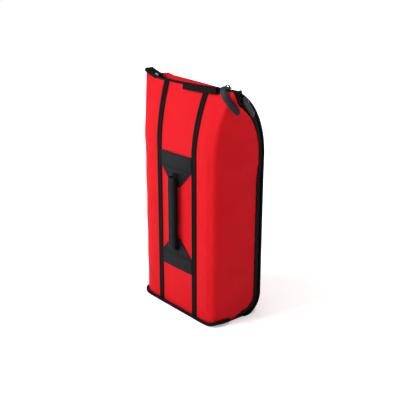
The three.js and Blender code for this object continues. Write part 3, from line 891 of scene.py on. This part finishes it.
@dataclass
class Cover:
    """The zipped back cover."""

    shape: CaseShape
    finish: Finishes
    crown: float = 7 * MM
    roll: float = 20 * MM        # height of the roll behind the ridge
    roll_reach: float = 36 * MM  # its reach, front to back
    crease: float = 0.5 * MM
    columns: int = 56

    def surface(self, inset: float, drop: int = 0) -> tuple[Grid, Grid]:
        """Return the cover's outer surface.

        Args:
            inset: How far each side edge stays inside the case's edge.
            drop: Rows left out at the top.

        Returns:
            Points and outward normals.
        """
        s = self.shape
        stop = math.acos(1 - (s.run - s.edge_at * 0.7) / s.shoulder_r)
        edge, _ = s.edge((10, 80, 90), stop, math.radians(45))
        f = np.linspace(-1, 1, self.columns)
        rows = []
        for i, (p, away) in enumerate(zip(edge.p, edge.s)):
            t = i / (len(edge.p) - 1)
            fade = np.clip(t / 0.08, 0, 1) * np.clip((1 - t) / 0.1, 0, 1)
            crease = self.crease * (
                wave(p[2] + 30 * MM * f, 0.09, 0.7) + 0.6 * wave(p[2] - 40 * MM * f, 0.053, 2.0))
            bulge = (self.crown * (1 - f ** 2) ** 0.7 + crease * (1 - f ** 4)) * fade
            row = np.stack([-f * (p[0] - inset), np.full_like(f, p[1]), np.full_like(f, p[2])], 1)
            row += np.array([0, away[1], away[2]]) * bulge[:, None]
            before_ridge = (p[1] - s.ridge_y - s.edge_at) / self.roll_reach
            roll = math.sin(math.pi * min(max(before_ridge, 0), 1)) ** 0.8 if i > len(edge.p) // 2 else 0.0
            left = np.clip(0.52 - 0.36 * row[:, 0] / s.half, 0, 1)
            left *= np.clip((1 - np.abs(f)) / 0.22, 0, 1) ** 0.7
            row[:, 2] += self.roll * roll * left
            rows.append(row)
        grid = np.array(rows[:len(rows) - drop])
        return grid, grid_normals(grid, 1)

    def build(self) -> None:
        """Make and dress the cover and its lining."""
        grid, normals = self.surface(1.2 * MM)
        settle(cloth("cover_cloth", grid, normals, -1.4 * MM, 0, self.finish.red), Body.COVER,
               "red_woven_nylon", "back_panel")
        grid, normals = self.surface(14 * MM, 46)
        settle(cloth("cover_inner_lining", grid[6:], normals[6:], -3.2 * MM, -2.2 * MM, self.finish.lining),
               Body.COVER, "grey_lining", "back_lining")


@dataclass
class Zipper:
    """Tape, teeth and edge piping of both zipper halves."""

    shape: CaseShape
    finish: Finishes
    tooth_at: float = 1.6 * MM
    tooth_out: float = -1.4 * MM
    bead_at: float = 7.4 * MM
    bead_r: float = 2.7 * MM
    stitch_at: float = 4.3 * MM
    stitch_out: float = -2.2 * MM
    tape_gap: float = 0.4 * MM    # tape's near edge to the centre line
    tape_out: tuple[float, float] = (-3.4 * MM, -2.4 * MM)
    shell_reach: float = 7 * MM   # tape's far edge
    cover_reach: float = 9.5 * MM

    def half(self, which: Half, body: Body, nodes: Sequence[str]) -> None:
        """Make one half of the zipper.

        Args:
            which: Shell or cover half.
            body: The body that it rides on.
            nodes: Stems of the CAD nodes that it replaces.
        """
        start = 0.0 if which is Half.SHELL else math.radians(44.6)
        line = self.shape.zipper(start)
        sign = which.value
        named = {stem: [f"{stem}_{place}" for place in ("right", "left", "ridge")] for stem in nodes}
        tape, coil, bead = (named[stem] for stem in nodes)
        name = which.name.lower()
        reach = self.shell_reach if which is Half.SHELL else self.cover_reach
        flat = strap_profile(sign * self.tape_gap, sign * reach, *self.tape_out)
        settle(swept(f"{name}_zipper_tape", line, flat, self.finish.tape), body, "zipper_tape", *tape)
        teeth = line.shifted(sign * self.tooth_at, self.tooth_out)
        settle(TEETH.lay(f"{name}_zipper_teeth", [teeth], self.finish.coil), body, "zipper_coil", *coil)
        beads = line
        if which is Half.COVER:
            top = np.clip((line.p[:, 2] - self.shape.ridge_z + 20 * MM) / (20 * MM), 0, 1)[:, None]
            beads = Line(line.p + (line.s * 1.6 - line.n * 2.4) * MM * top, line.s, line.n)
        section = round_profile(sign * self.bead_at, -0.3 * MM, self.bead_r)
        settle(swept(f"{name}_edge_piping", beads, section, self.finish.piping), body, "black_piping", *bead)
        seam = line.shifted(sign * self.stitch_at, self.stitch_out)
        settle(STITCH.lay(f"{name}_tape_stitches", [seam], self.finish.thread), body, "zipper_tape")

    def build(self) -> None:
        """Make both halves."""
        self.half(Half.SHELL, Body.CASE, ("shell_tape", "shell_coil", "shell_edge_piping"))
        self.half(Half.COVER, Body.COVER, ("cover_tape", "cover_coil", "cover_edge_piping"))


@dataclass
class FrontPatches:
    """Bands and tapered anchor patches that hold the handle."""

    shell: Shell
    finish: Finishes
    lift: float = 0.3 * MM
    thick: float = 1.5 * MM
    tip: float = 26 * MM
    margin: float = 2.2 * MM  # seam to the patch's edge
    rows: int = 14
    columns: int = 26

    def patch(self, name: str, low: float, high: float, width: Callable[[float], float],
              node_name: str) -> Line:
        """Make one patch on the front.

        Args:
            name: The piece's name.
            low: Lower edge's height.
            high: Upper edge's height.
            width: Half width at a share of the height, 0 at the bottom and 1 at the top.
            node_name: CAD node that it replaces.

        Returns:
            The stitch line just inside the patch's outline.
        """
        grid = np.array([[self.shell.front_point(f * width(t), low + t * (high - low), 0)
                          for f in np.linspace(1, -1, self.columns)] for t in np.linspace(0, 1, self.rows)])
        normals = np.tile(FRONT, (self.rows, self.columns, 1))
        settle(cloth(name, grid, normals, self.lift, self.lift + self.thick, self.finish.charcoal),
               Body.CASE, "charcoal_cloth", node_name)
        top = self.lift + self.thick + 0.15 * MM
        t_in = self.margin / (high - low)
        outline = [(-1, t_in), (-1, 1 - t_in), (1, 1 - t_in), (1, t_in), (-1, t_in)]
        points = []
        for (f0, t0), (f1, t1) in zip(outline, outline[1:]):
            for k in np.linspace(0, 1, 10, endpoint=False):
                t, f = t0 + (t1 - t0) * k, f0 + (f1 - f0) * k
                reach = width(t) - self.margin
                points.append(self.shell.front_point(f * reach, low + t * (high - low), top))
        points.append(points[0])
        return Line.straight(np.array(points), RIGHT, FRONT)

    def build(self) -> None:
        """Make all four patches and their stitches."""
        seams = []
        for place in ("upper", "lower"):
            low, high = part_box(f"{place}_band")
            full = high[0]
            seams.append(self.patch(f"{place}_band_cloth", low[2], high[2], lambda t: full,
                                    f"{place}_band"))
            low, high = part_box(f"{place}_anchor")
            narrow = self.tip / 2

            def taper(t: float, upper: bool = place == "upper") -> float:
                """Return the patch's half width at a share of its height."""
                return narrow + (full - narrow) * (t if upper else 1 - t)

            seams.append(self.patch(f"{place}_anchor_cloth", low[2], high[2], taper, f"{place}_anchor"))
        settle(STITCH.lay("patch_stitches", seams, self.finish.thread), Body.CASE, "charcoal_cloth")


@dataclass
class Handle:
    """Rolled grip, its padding and the strap that runs through it."""

    finish: Finishes
    wall: float = 2.0 * MM
    strap_half: float = 8 * MM
    strap_thick: float = 2.4 * MM
    strap_in: float = 12 * MM   # strap's bent end into the grip
    strap_out: float = 7 * MM   # and past the grip's end
    seam_at: float = 5.5 * MM   # grip's two seams from its middle
    around: int = 40            # points round the grip

    def section(self, half_w: float, half_d: float, power: float, count: int) -> Grid:
        """Return a rounded section in x and y."""
        a = np.linspace(0, 2 * np.pi, count, endpoint=False) + np.pi / count
        c, s = np.cos(a), np.sin(a)
        x, y = (np.sign(v) * np.abs(v) ** power for v in (c, s))
        return np.stack([half_w * x, half_d * y], 1)

    def tube(self, name: str, low: Point, high: Point, wall: float, material: bpy.types.Material,
             power: float = 0.55) -> bpy.types.Object:
        """Make a soft tube along z that fills a box, with open ends.

        Args:
            name: The piece's name.
            low: The box's low corner.
            high: The box's high corner.
            wall: Wall thickness.
            material: The tube's material.
            power: Squareness of the section, 1 is an ellipse.

        Returns:
            The finished piece.
        """
        cx, cy = (low[0] + high[0]) / 2, (low[1] + high[1]) / 2
        w, d = (high[0] - low[0]) / 2, (high[1] - low[1]) / 2
        count = self.around
        outer, inner = [], []
        for t in np.linspace(0, 1, 46):
            z = low[2] + t * (high[2] - low[2])
            end = 1 - 0.05 * math.exp(-min(t, 1 - t) / 0.03)
            swell = 1 + 0.015 * math.sin(t * 19) + 0.01 * math.sin(t * 43 + 1)
            for store, dw in ((outer, 0.0), (inner, wall)):
                ring = self.section((w - dw) * end * swell, (d - dw) * end * swell, power, count)
                store.append(np.column_stack([ring + np.array([cx, cy]), np.full(count, z)]))
        rings = np.array(outer + inner[::-1] + outer[:1])
        rows = len(rings) - 1
        faces = [(r * count + i, r * count + (i + 1) % count,
                  ((r + 1) % rows) * count + (i + 1) % count, ((r + 1) % rows) * count + i)
                 for r in range(rows) for i in range(count)]
        return finished(name, rings[:-1], faces, material)

    def strap_end(self, name: str, z_tip: float, z_grip: float, y_face: float,
                  y_grip: float) -> bpy.types.Object:
        """Make the strap's bent end between the front and the grip.

        Args:
            name: The piece's name.
            z_tip: Height where the strap leaves the front, under its patch.
            z_grip: Height where it is well inside the grip.
            y_face: Depth on the front.
            y_grip: Depth in the grip.

        Returns:
            The finished piece.
        """
        t = np.linspace(0, 1, 24)
        ease = t * t * (3 - 2 * t)
        p = np.stack([np.zeros_like(t), y_face + (y_grip - y_face) * ease, z_tip + (z_grip - z_tip) * t], 1)
        along = unit(np.gradient(p, axis=0))
        s = np.tile(RIGHT, (len(t), 1))
        n = np.cross(s, along)
        n *= np.sign(-n[:, 1:2])
        return swept(name, Line(p, s, n), self.strap_section(self.strap_half), self.finish.webbing)

    def strap_section(self, half: float) -> list[tuple[float, float]]:
        """Return the strap's section at one half width."""
        return strap_profile(-half, half, -self.strap_thick / 2, self.strap_thick / 2)

    def build(self) -> None:
        """Make the handle's pieces."""
        low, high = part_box("handle_wrap")
        wrap = self.tube("handle_roll", low, high, self.wall, self.finish.charcoal)
        settle(wrap, Body.HANDLE, "charcoal_cloth", "handle_wrap")
        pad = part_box("handle_padding")
        inner = self.tube("handle_pad", pad[0], pad[1], 2.2 * MM, self.finish.foam)
        settle(inner, Body.HANDLE, "foam", "handle_padding")
        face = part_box("upper_anchor")[1][1]
        strap_low, strap_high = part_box("handle_strap")
        y_grip = (strap_low[1] + strap_high[1]) / 2
        middle = np.linspace(low[2] + self.strap_in, high[2] - self.strap_in, 6)
        p = np.stack([np.zeros(6), np.full(6, y_grip), middle], 1)
        core = swept("handle_strap_middle", Line.straight(p, RIGHT, FRONT),
                     self.strap_section(self.strap_half - 1 * MM), self.finish.webbing)
        settle(core, Body.HANDLE, "black_webbing", "handle_strap")
        y_out = face - 4.6 * MM
        for name, z_tip, z_grip in (("upper", high[2] + self.strap_out, high[2] - self.strap_in),
                                    ("lower", low[2] - self.strap_out, low[2] + self.strap_in)):
            end = self.strap_end(f"handle_strap_{name}", z_tip, z_grip, y_out, y_grip)
            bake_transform(end)
        log.info("handle_strap ends bend between case and handle")
        z = np.linspace(low[2] + 6 * MM, high[2] - 6 * MM, 30)
        y_front = np.full_like(z, low[1] - 0.1 * MM)
        lines = [Line.straight(np.stack([np.full_like(z, x), y_front, z], 1), RIGHT, FRONT)
                 for x in (-self.seam_at, self.seam_at)]
        settle(STITCH.lay("grip_stitches", lines, self.finish.thread), Body.HANDLE, "charcoal_cloth")


@dataclass
class Tabs:
    """Long tab along the ridge, the short one on the left ridge end and the zipper's end stop."""

    shape: CaseShape
    finish: Finishes
    turn: float = 2.4 * MM    # radius of the long tab's fold
    stop_r: float = 2.4 * MM

    def build(self) -> None:
        """Make both tabs and the end stop."""
        low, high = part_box("ridge_tab")
        x0, x1 = low[0] + 6 * MM, high[0] + 3 * MM
        y = high[1] + 3.4 * MM
        mid, tall = (low[2] + high[2]) / 2, (high[2] - low[2]) / 2
        turn = self.turn
        route = [(x1, y, mid)] + [(x, y, mid) for x in np.linspace(x1, x0 + turn, 16)[1:]]
        route += [(x0 + turn - turn * math.sin(a), y - turn + turn * math.cos(a), mid)
                  for a in np.linspace(0, math.pi, 10)[1:]]
        route += [(x, y - 2 * turn, mid) for x in np.linspace(x0 + turn, x1 - 4 * MM, 16)[1:]]
        p = np.array(route)
        along = unit(np.gradient(p, axis=0))
        s = np.tile(UP, (len(p), 1))
        n = unit(np.cross(along, s))
        strap = swept("ridge_loop_tab", Line(p, s, n), strap_profile(-tall, tall, -0.9 * MM, 0.9 * MM),
                      self.finish.webbing)
        settle(strap, Body.CASE, "black_webbing", "ridge_tab")
        low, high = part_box("ear_tab")
        ridge_y, over = (low[1] + high[1]) / 2, high[2] + 0.9 * MM
        x = np.linspace(low[0] + 4.5 * MM, high[0] + 3 * MM, 24)
        flap = [(9, 0.0), (-9, 0.0), (-12.5, -1.6), (-13.2, -7.0),
                (-11.6, -7.0), (-10.8, -3), (-8.4, -1.8), (9, -1.8)]
        rings = np.array([[(v, ridge_y + a * MM, over + b * MM) for a, b in flap] for v in x])
        pinch = 1 - 0.35 * np.clip((low[0] + 8 * MM - x) / (9 * MM), 0, 1) ** 2
        rings[:, :, 1] = ridge_y + (rings[:, :, 1] - ridge_y) * pinch[:, None]
        ear = loft("left_ear_tab", rings, self.finish.webbing)
        settle(ear, Body.CASE, "black_webbing", "ear_tab")
        t = np.linspace(0, 1, 6)
        p = np.stack([high[0] + 7 * MM * t - 3 * MM, np.full_like(t, ridge_y - 7 * MM),
                      np.full_like(t, over - 1 * MM)], 1)
        stop = swept("zipper_end_stop", Line.straight(p, BACK, UP), round_profile(0, 0, self.stop_r, 10),
                     self.finish.zinc)
        settle(stop, Body.CASE, "slider_metal")


@dataclass
class Pulls:
    """Slider bridges and the two limp pull tabs."""

    finish: Finishes
    width: float = 6.8 * MM    # half of a tab's width
    thick: float = 2.6 * MM
    ribbed: float = 34 * MM    # length of the ribbed end
    rib: float = 3.2 * MM      # from one rib to the next
    steps: int = 44
    below_ridge: float = math.radians(9)  # second slider's place on the shoulder

    def tab(self, name: str, p: Grid, n: Grid, body: Body, node_name: str) -> bpy.types.Object:
        """Make a pull tab with a rounded end along a route.

        Args:
            name: The piece's name.
            p: Route from the slider to the free end.
            n: Outward directions.
            body: The body that it rides on.
            node_name: CAD node that it replaces.

        Returns:
            The finished piece.
        """
        along = unit(np.gradient(p, axis=0))
        n = unit(n - along * (n * along).sum(1, keepdims=True))
        s = np.cross(n, along)
        length = np.concatenate([[0], np.cumsum(np.linalg.norm(np.diff(p, axis=0), axis=1))])
        left = length[-1] - length
        rings = []
        for i in range(len(p)):
            near = min(length[i] / (5 * MM), 1)
            w = self.width * (0.62 + 0.38 * near)
            w *= 0.62 + 0.38 * math.sqrt(max(1 - max(1 - left[i] / (3.2 * MM), 0) ** 2, 0.0))
            ribs = 0.25 * MM * math.cos(length[i] / self.rib * 2 * math.pi)
            groove = ribs if left[i] < self.ribbed else 0.0
            h = self.thick / 2 + (groove if left[i] > 6 * MM else 0.0)
            rings.append([p[i] + s[i] * a + n[i] * b for a, b in strap_profile(-w, w, -h, h)])
        return settle(loft(name, np.array(rings), self.finish.rubber), body, "pull_rubber", node_name)

    def bridge(self, name: str, centre: Grid, along: Grid, out: Grid, body: Body) -> None:
        """Make the slider's arched bridge that holds its pull.

        Args:
            name: The piece's name.
            centre: Middle of the slider's outer plate.
            along: Direction of travel.
            out: Outward direction.
            body: The slider's body.
        """
        t = np.linspace(0, np.pi, 16)[:, None]
        p = centre - along * 6 * MM * np.cos(t) + out * 4.2 * MM * np.sin(t)
        tangent = unit(np.gradient(p, axis=0))
        s = np.tile(np.cross(along, out), (16, 1))
        n = unit(np.cross(tangent, s))
        arch = swept(name, Line(p, s, n), strap_profile(-2 * MM, 2 * MM, -0.9 * MM, 0.9 * MM),
                     self.finish.enamel)
        settle(arch, body, "slider_metal")

    def build(self, shape: CaseShape) -> None:
        """Make both pulls and both bridges."""
        base = np.array([shape.half, shape.ridge_y - 30 * MM, shape.ridge_z])
        hand = np.array([(-7, 23, 7), (-5, 16, 6), (0, 11, 0), (8, 10, -11), (16, 14, -21),
                         (21, 21, -31), (24.5, 30, -42)]) * MM
        facing = np.array([(0, -0.4, 0.9), (0, -0.5, 0.8), (0.1, -0.8, 0.55), (0.3, -0.9, 0.3),
                           (0.6, -0.75, 0.2), (0.85, -0.4, 0.2), (0.97, 0, 0.2)])
        u = np.linspace(0, len(hand) - 1, self.steps)
        p = np.stack([np.interp(u, range(len(hand)), base[k] + hand[:, k]) for k in range(3)], 1)
        n = np.stack([np.interp(u, range(len(hand)), facing[:, k]) for k in range(3)], 1)
        for _ in range(6):
            p[1:-1] = (p[:-2] + 2 * p[1:-1] + p[2:]) / 4
        first = self.tab("first_pull_tab", p, n, Body.FIRST_PULL, "pull_a")
        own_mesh(first)
        angle = shape.ear_angle - self.below_ridge
        inward = shape.plan * math.cos(angle) + np.array([0, 0, -math.sin(angle)])
        edge = (np.array([shape.half, shape.back, shape.shoulder_z + shape.shoulder_r * math.sin(angle)])
                + shape.plan * shape.shoulder_r * (1 - math.cos(angle)))
        out = shape.side_out
        down = unit(np.cross(-inward, out))
        centre = edge + inward * shape.edge_at + out * 5.2 * MM
        t = np.linspace(0, 1, self.steps)[:, None]
        p = centre + out * (3.4 - 4.6 * t ** 0.5) * MM + down * (-12 + 55 * t) * MM + inward * 13 * MM * t
        self.tab("second_pull_tab", p, np.tile(out, (self.steps, 1)), Body.SECOND_PULL, "pull_b")
        self.bridge("second_slider_bridge", centre, down, out, Body.SECOND_SLIDER)
        low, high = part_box("slider_a")
        centre = np.array([(low[0] + high[0]) / 2, (low[1] + high[1]) / 2, high[2] - 0.4 * MM])
        self.bridge("first_slider_bridge", centre, np.array(RIGHT), np.array(UP), Body.FIRST_SLIDER)


@dataclass
class FoldedBlanket:
    """Three by three metres of coated glass cloth, folded to and fro both ways."""

    finish: Finishes
    side: float = 3.0
    cloth: float = 0.45 * MM
    clear: float = 1.2 * MM    # pack to the room that it fills
    uneven: float = 1.2 * MM   # edges of its layers, in and out

    def zigzag(self, along: Grid, run: float, pitch: float) -> tuple[Grid, Grid, Grid]:
        """Fold a length to and fro.

        Args:
            along: Distances along the cloth.
            run: Length of one flat run and one turn together.
            pitch: Distance from one layer to the next.

        Returns:
            Place along the run, height in the pile and the cloth's slope angle.
        """
        turn = math.pi * pitch / 2
        flat = run - turn
        layer = np.floor(along / run)
        rest = along - layer * run
        bend = np.clip((rest - flat) / turn, 0, 1)
        place = np.minimum(rest, flat) + pitch / 2 * np.sin(np.pi * bend)
        height = pitch / 2 * (1 - np.cos(np.pi * bend))
        forward = np.where(layer % 2 == 0, 1, -1)
        x = np.where(forward > 0, place, flat - place)
        angle = np.pi * bend * forward + np.where(forward > 0, 0, np.pi)
        return x, layer * pitch + height, angle

    def samples(self, panels: int, run: float, pitch: float, flat_steps: int, turn_steps: int) -> Grid:
        """Return distances along the cloth that sample runs coarsely and turns finely.

        Args:
            panels: Number of runs.
            run: Length of one flat run and one turn together.
            pitch: Distance from one layer to the next.
            flat_steps: Samples on a flat run.
            turn_steps: Samples on a turn.

        Returns:
            Distances from the cloth's edge.
        """
        turn = math.pi * pitch / 2
        values = []
        for i in range(panels):
            values += list(i * run + np.linspace(0, run - turn, flat_steps, endpoint=False))
            if i < panels - 1:
                values += list(i * run + run - turn + np.linspace(0, turn, turn_steps, endpoint=False))
        values.append(panels * run - turn)
        return np.array(values)

    def build(self) -> None:
        low, high = (np.array(v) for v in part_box("folded_blanket"))
        low, high = low + self.clear, high - self.clear
        across, tall, deep = high[0] - low[0], high[2] - low[2], high[1] - low[1]
        stacks = round(self.side / tall)
        layers = round(self.side / across)
        pack = deep / stacks
        pitch = pack / layers
        run_x = self.side / layers
        run_z = self.side / stacks
        u = self.samples(layers, run_x, pitch, 3, 5)
        v = self.samples(stacks, run_z, pack, 5, 9)
        x, depth, _ = self.zigzag(u, run_x, pitch)
        jitter = self.uneven * np.sin(np.floor(u / run_x) * 2.3)
        x = x * (across / (x.max() - x.min())) * 0.985 + jitter
        z, y, angle = self.zigzag(v, run_z, pack * 0.999)
        offset = depth - pack / 2
        grid = np.zeros((len(v), len(u), 3))
        grid[:, :, 0] = x[None] - x.mean()
        grid[:, :, 1] = y[:, None] + np.cos(angle)[:, None] * offset[None]
        grid[:, :, 2] = z[:, None] - np.sin(angle)[:, None] * offset[None]
        middle = (grid.reshape(-1, 3).max(0) + grid.reshape(-1, 3).min(0)) / 2
        extent = grid.reshape(-1, 3).max(0) - grid.reshape(-1, 3).min(0)
        grid = (grid - middle) * np.minimum((high - low - 1 * MM) / extent, 1.0) + (low + high) / 2
        rows, cols = grid.shape[:2]
        faces = [(r * cols + c, r * cols + c + 1, (r + 1) * cols + c + 1, (r + 1) * cols + c)
                 for r in range(rows - 1) for c in range(cols - 1)]
        piece = finished("blanket_cloth_folded", grid, faces, self.finish.glass)
        solid = piece.modifiers.new("thickness", "SOLIDIFY")
        solid.thickness = self.cloth
        solid.offset = 0
        settle(piece, Body.BLANKET, "blanket_cloth", "folded_blanket")


def dress_hard_parts(finish: Finishes) -> None:
    """Give every CAD part that stays visible its material.

    Args:
        finish: The finishes.
    """
    looks = {
        "front_board": finish.foam, "back_board": finish.foam, "base_board": finish.foam,
        "base_panel": finish.webbing, "hinge_strip": finish.webbing,
        "slider_a": finish.enamel, "slider_b": finish.enamel,
    }
    for name, material in looks.items():
        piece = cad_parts[name]
        piece.data.materials.clear()
        piece.data.materials.append(material)
        log.info("%s dressed as %s", name, material.name)


@dataclass(frozen=True)
class Studio:
    """Pale floor, soft light and the camera; the backdrop is brighter than the light it gives."""

    camera_at: Point = (1.0994, -0.9193, 0.7084)
    azimuth: float = 50.2
    pitch: float = 18.1
    lens: float = 63.0
    reach: float = 12.0          # half of the floor's edge
    floor_glow: float = 0.3      # at the case, and as much more per metre
    soft_light: float = 0.42     # world as it lights the case
    seen_world: float = 1.0      # world as the backdrop

    def camera(self) -> None:
        """Place the camera and make it the scene's own."""
        az, el = math.radians(self.azimuth), math.radians(self.pitch)
        back = Vector((math.sin(az) * math.cos(el), -math.cos(az) * math.cos(el), math.sin(el)))
        right = Vector((math.cos(az), math.sin(az), 0))
        up = back.cross(right)
        data = bpy.data.cameras.new("camera")
        data.lens, data.sensor_width = self.lens, 36.0
        camera = bpy.data.objects.new("camera", data)
        turned = Matrix((right, up, back)).transposed().to_4x4()
        camera.matrix_world = Matrix.Translation(self.camera_at) @ turned
        bpy.context.scene.collection.objects.link(camera)
        bpy.context.scene.camera = camera

    def light(self, name: str, place: Point, size: float, power: float) -> None:
        """Add one soft light that faces the case.

        Args:
            name: The light's name.
            place: Where it is.
            size: Its edge in metres.
            power: Its power in watts.
        """
        data = bpy.data.lights.new(name, "AREA")
        data.size, data.energy = size, power
        lamp = bpy.data.objects.new(name, data)
        aim = Vector((0, 0, 0.25)) - Vector(place)
        lamp.matrix_world = Matrix.Translation(place) @ aim.to_track_quat("-Z", "Y").to_matrix().to_4x4()
        bpy.context.scene.collection.objects.link(lamp)

    def floor(self) -> None:
        """Lay the pale floor."""
        material = bpy.data.materials.new("pale_studio_floor")
        material.use_nodes = True
        shader = material.node_tree.nodes["Principled BSDF"]
        shader.inputs["Base Color"].default_value = linear("f6f6f6")
        shader.inputs["Roughness"].default_value = 0.9
        shader.inputs["Specular IOR Level"].default_value = 0.1
        shader.inputs["Emission Color"].default_value = (1, 1, 1, 1)
        tree = material.node_tree
        place = node(tree, "ShaderNodeTexCoord").outputs["Object"]
        away = node(tree, "ShaderNodeVectorMath", {0: place}, operation="LENGTH")
        glow = node(tree, "ShaderNodeMath",
                    {0: away.outputs["Value"], 1: self.floor_glow, 2: self.floor_glow},
                    operation="MULTIPLY_ADD")
        tree.links.new(glow.outputs[0], shader.inputs["Emission Strength"])
        size = self.reach
        corners = np.array([(-size, -size, 0), (size, -size, 0), (size, size, 0), (-size, size, 0)])
        plane = finished("studio_floor", corners, [(0, 1, 2, 3)], material)

    def build(self) -> None:
        """Set up the whole studio."""
        self.camera()
        self.floor()
        world = bpy.data.worlds.new("studio")
        bpy.context.scene.world = world
        world.use_nodes = True
        tree = world.node_tree
        soft = tree.nodes["Background"]
        soft.inputs["Color"].default_value = (1, 1, 1, 1)
        soft.inputs["Strength"].default_value = self.soft_light
        seen = node(tree, "ShaderNodeBackground", {"Color": (1, 1, 1, 1), "Strength": self.seen_world})
        path = node(tree, "ShaderNodeLightPath")
        mixed = node(tree, "ShaderNodeMixShader", {0: path.outputs["Is Camera Ray"],
                                                   1: soft.outputs[0], 2: seen.outputs[0]})
        tree.links.new(mixed.outputs[0], tree.nodes["World Output"].inputs["Surface"])
        bpy.context.scene.view_settings.view_transform = "Standard"
        self.light("key", (-1.3, -2.5, 1.9), 1.8, 128)
        self.light("top", (0.1, 0.3, 2.8), 1.6, 24)


def main() -> None:
    """Build every sub-assembly in order."""
    logging.basicConfig(level=logging.INFO, format="%(name)s: %(message)s")
    Studio().build()
    finish = Finishes()
    shape = CaseShape()
    shell = Shell(shape, finish)
    shell.build()
    Cover(shape, finish).build()
    Zipper(shape, finish).build()
    FrontPatches(shell, finish).build()
    Handle(finish).build()
    Tabs(shape, finish).build()
    Pulls(finish).build(shape)
    FoldedBlanket(finish).build()
    dress_hard_parts(finish)


if __name__ == "__main__":
    main()
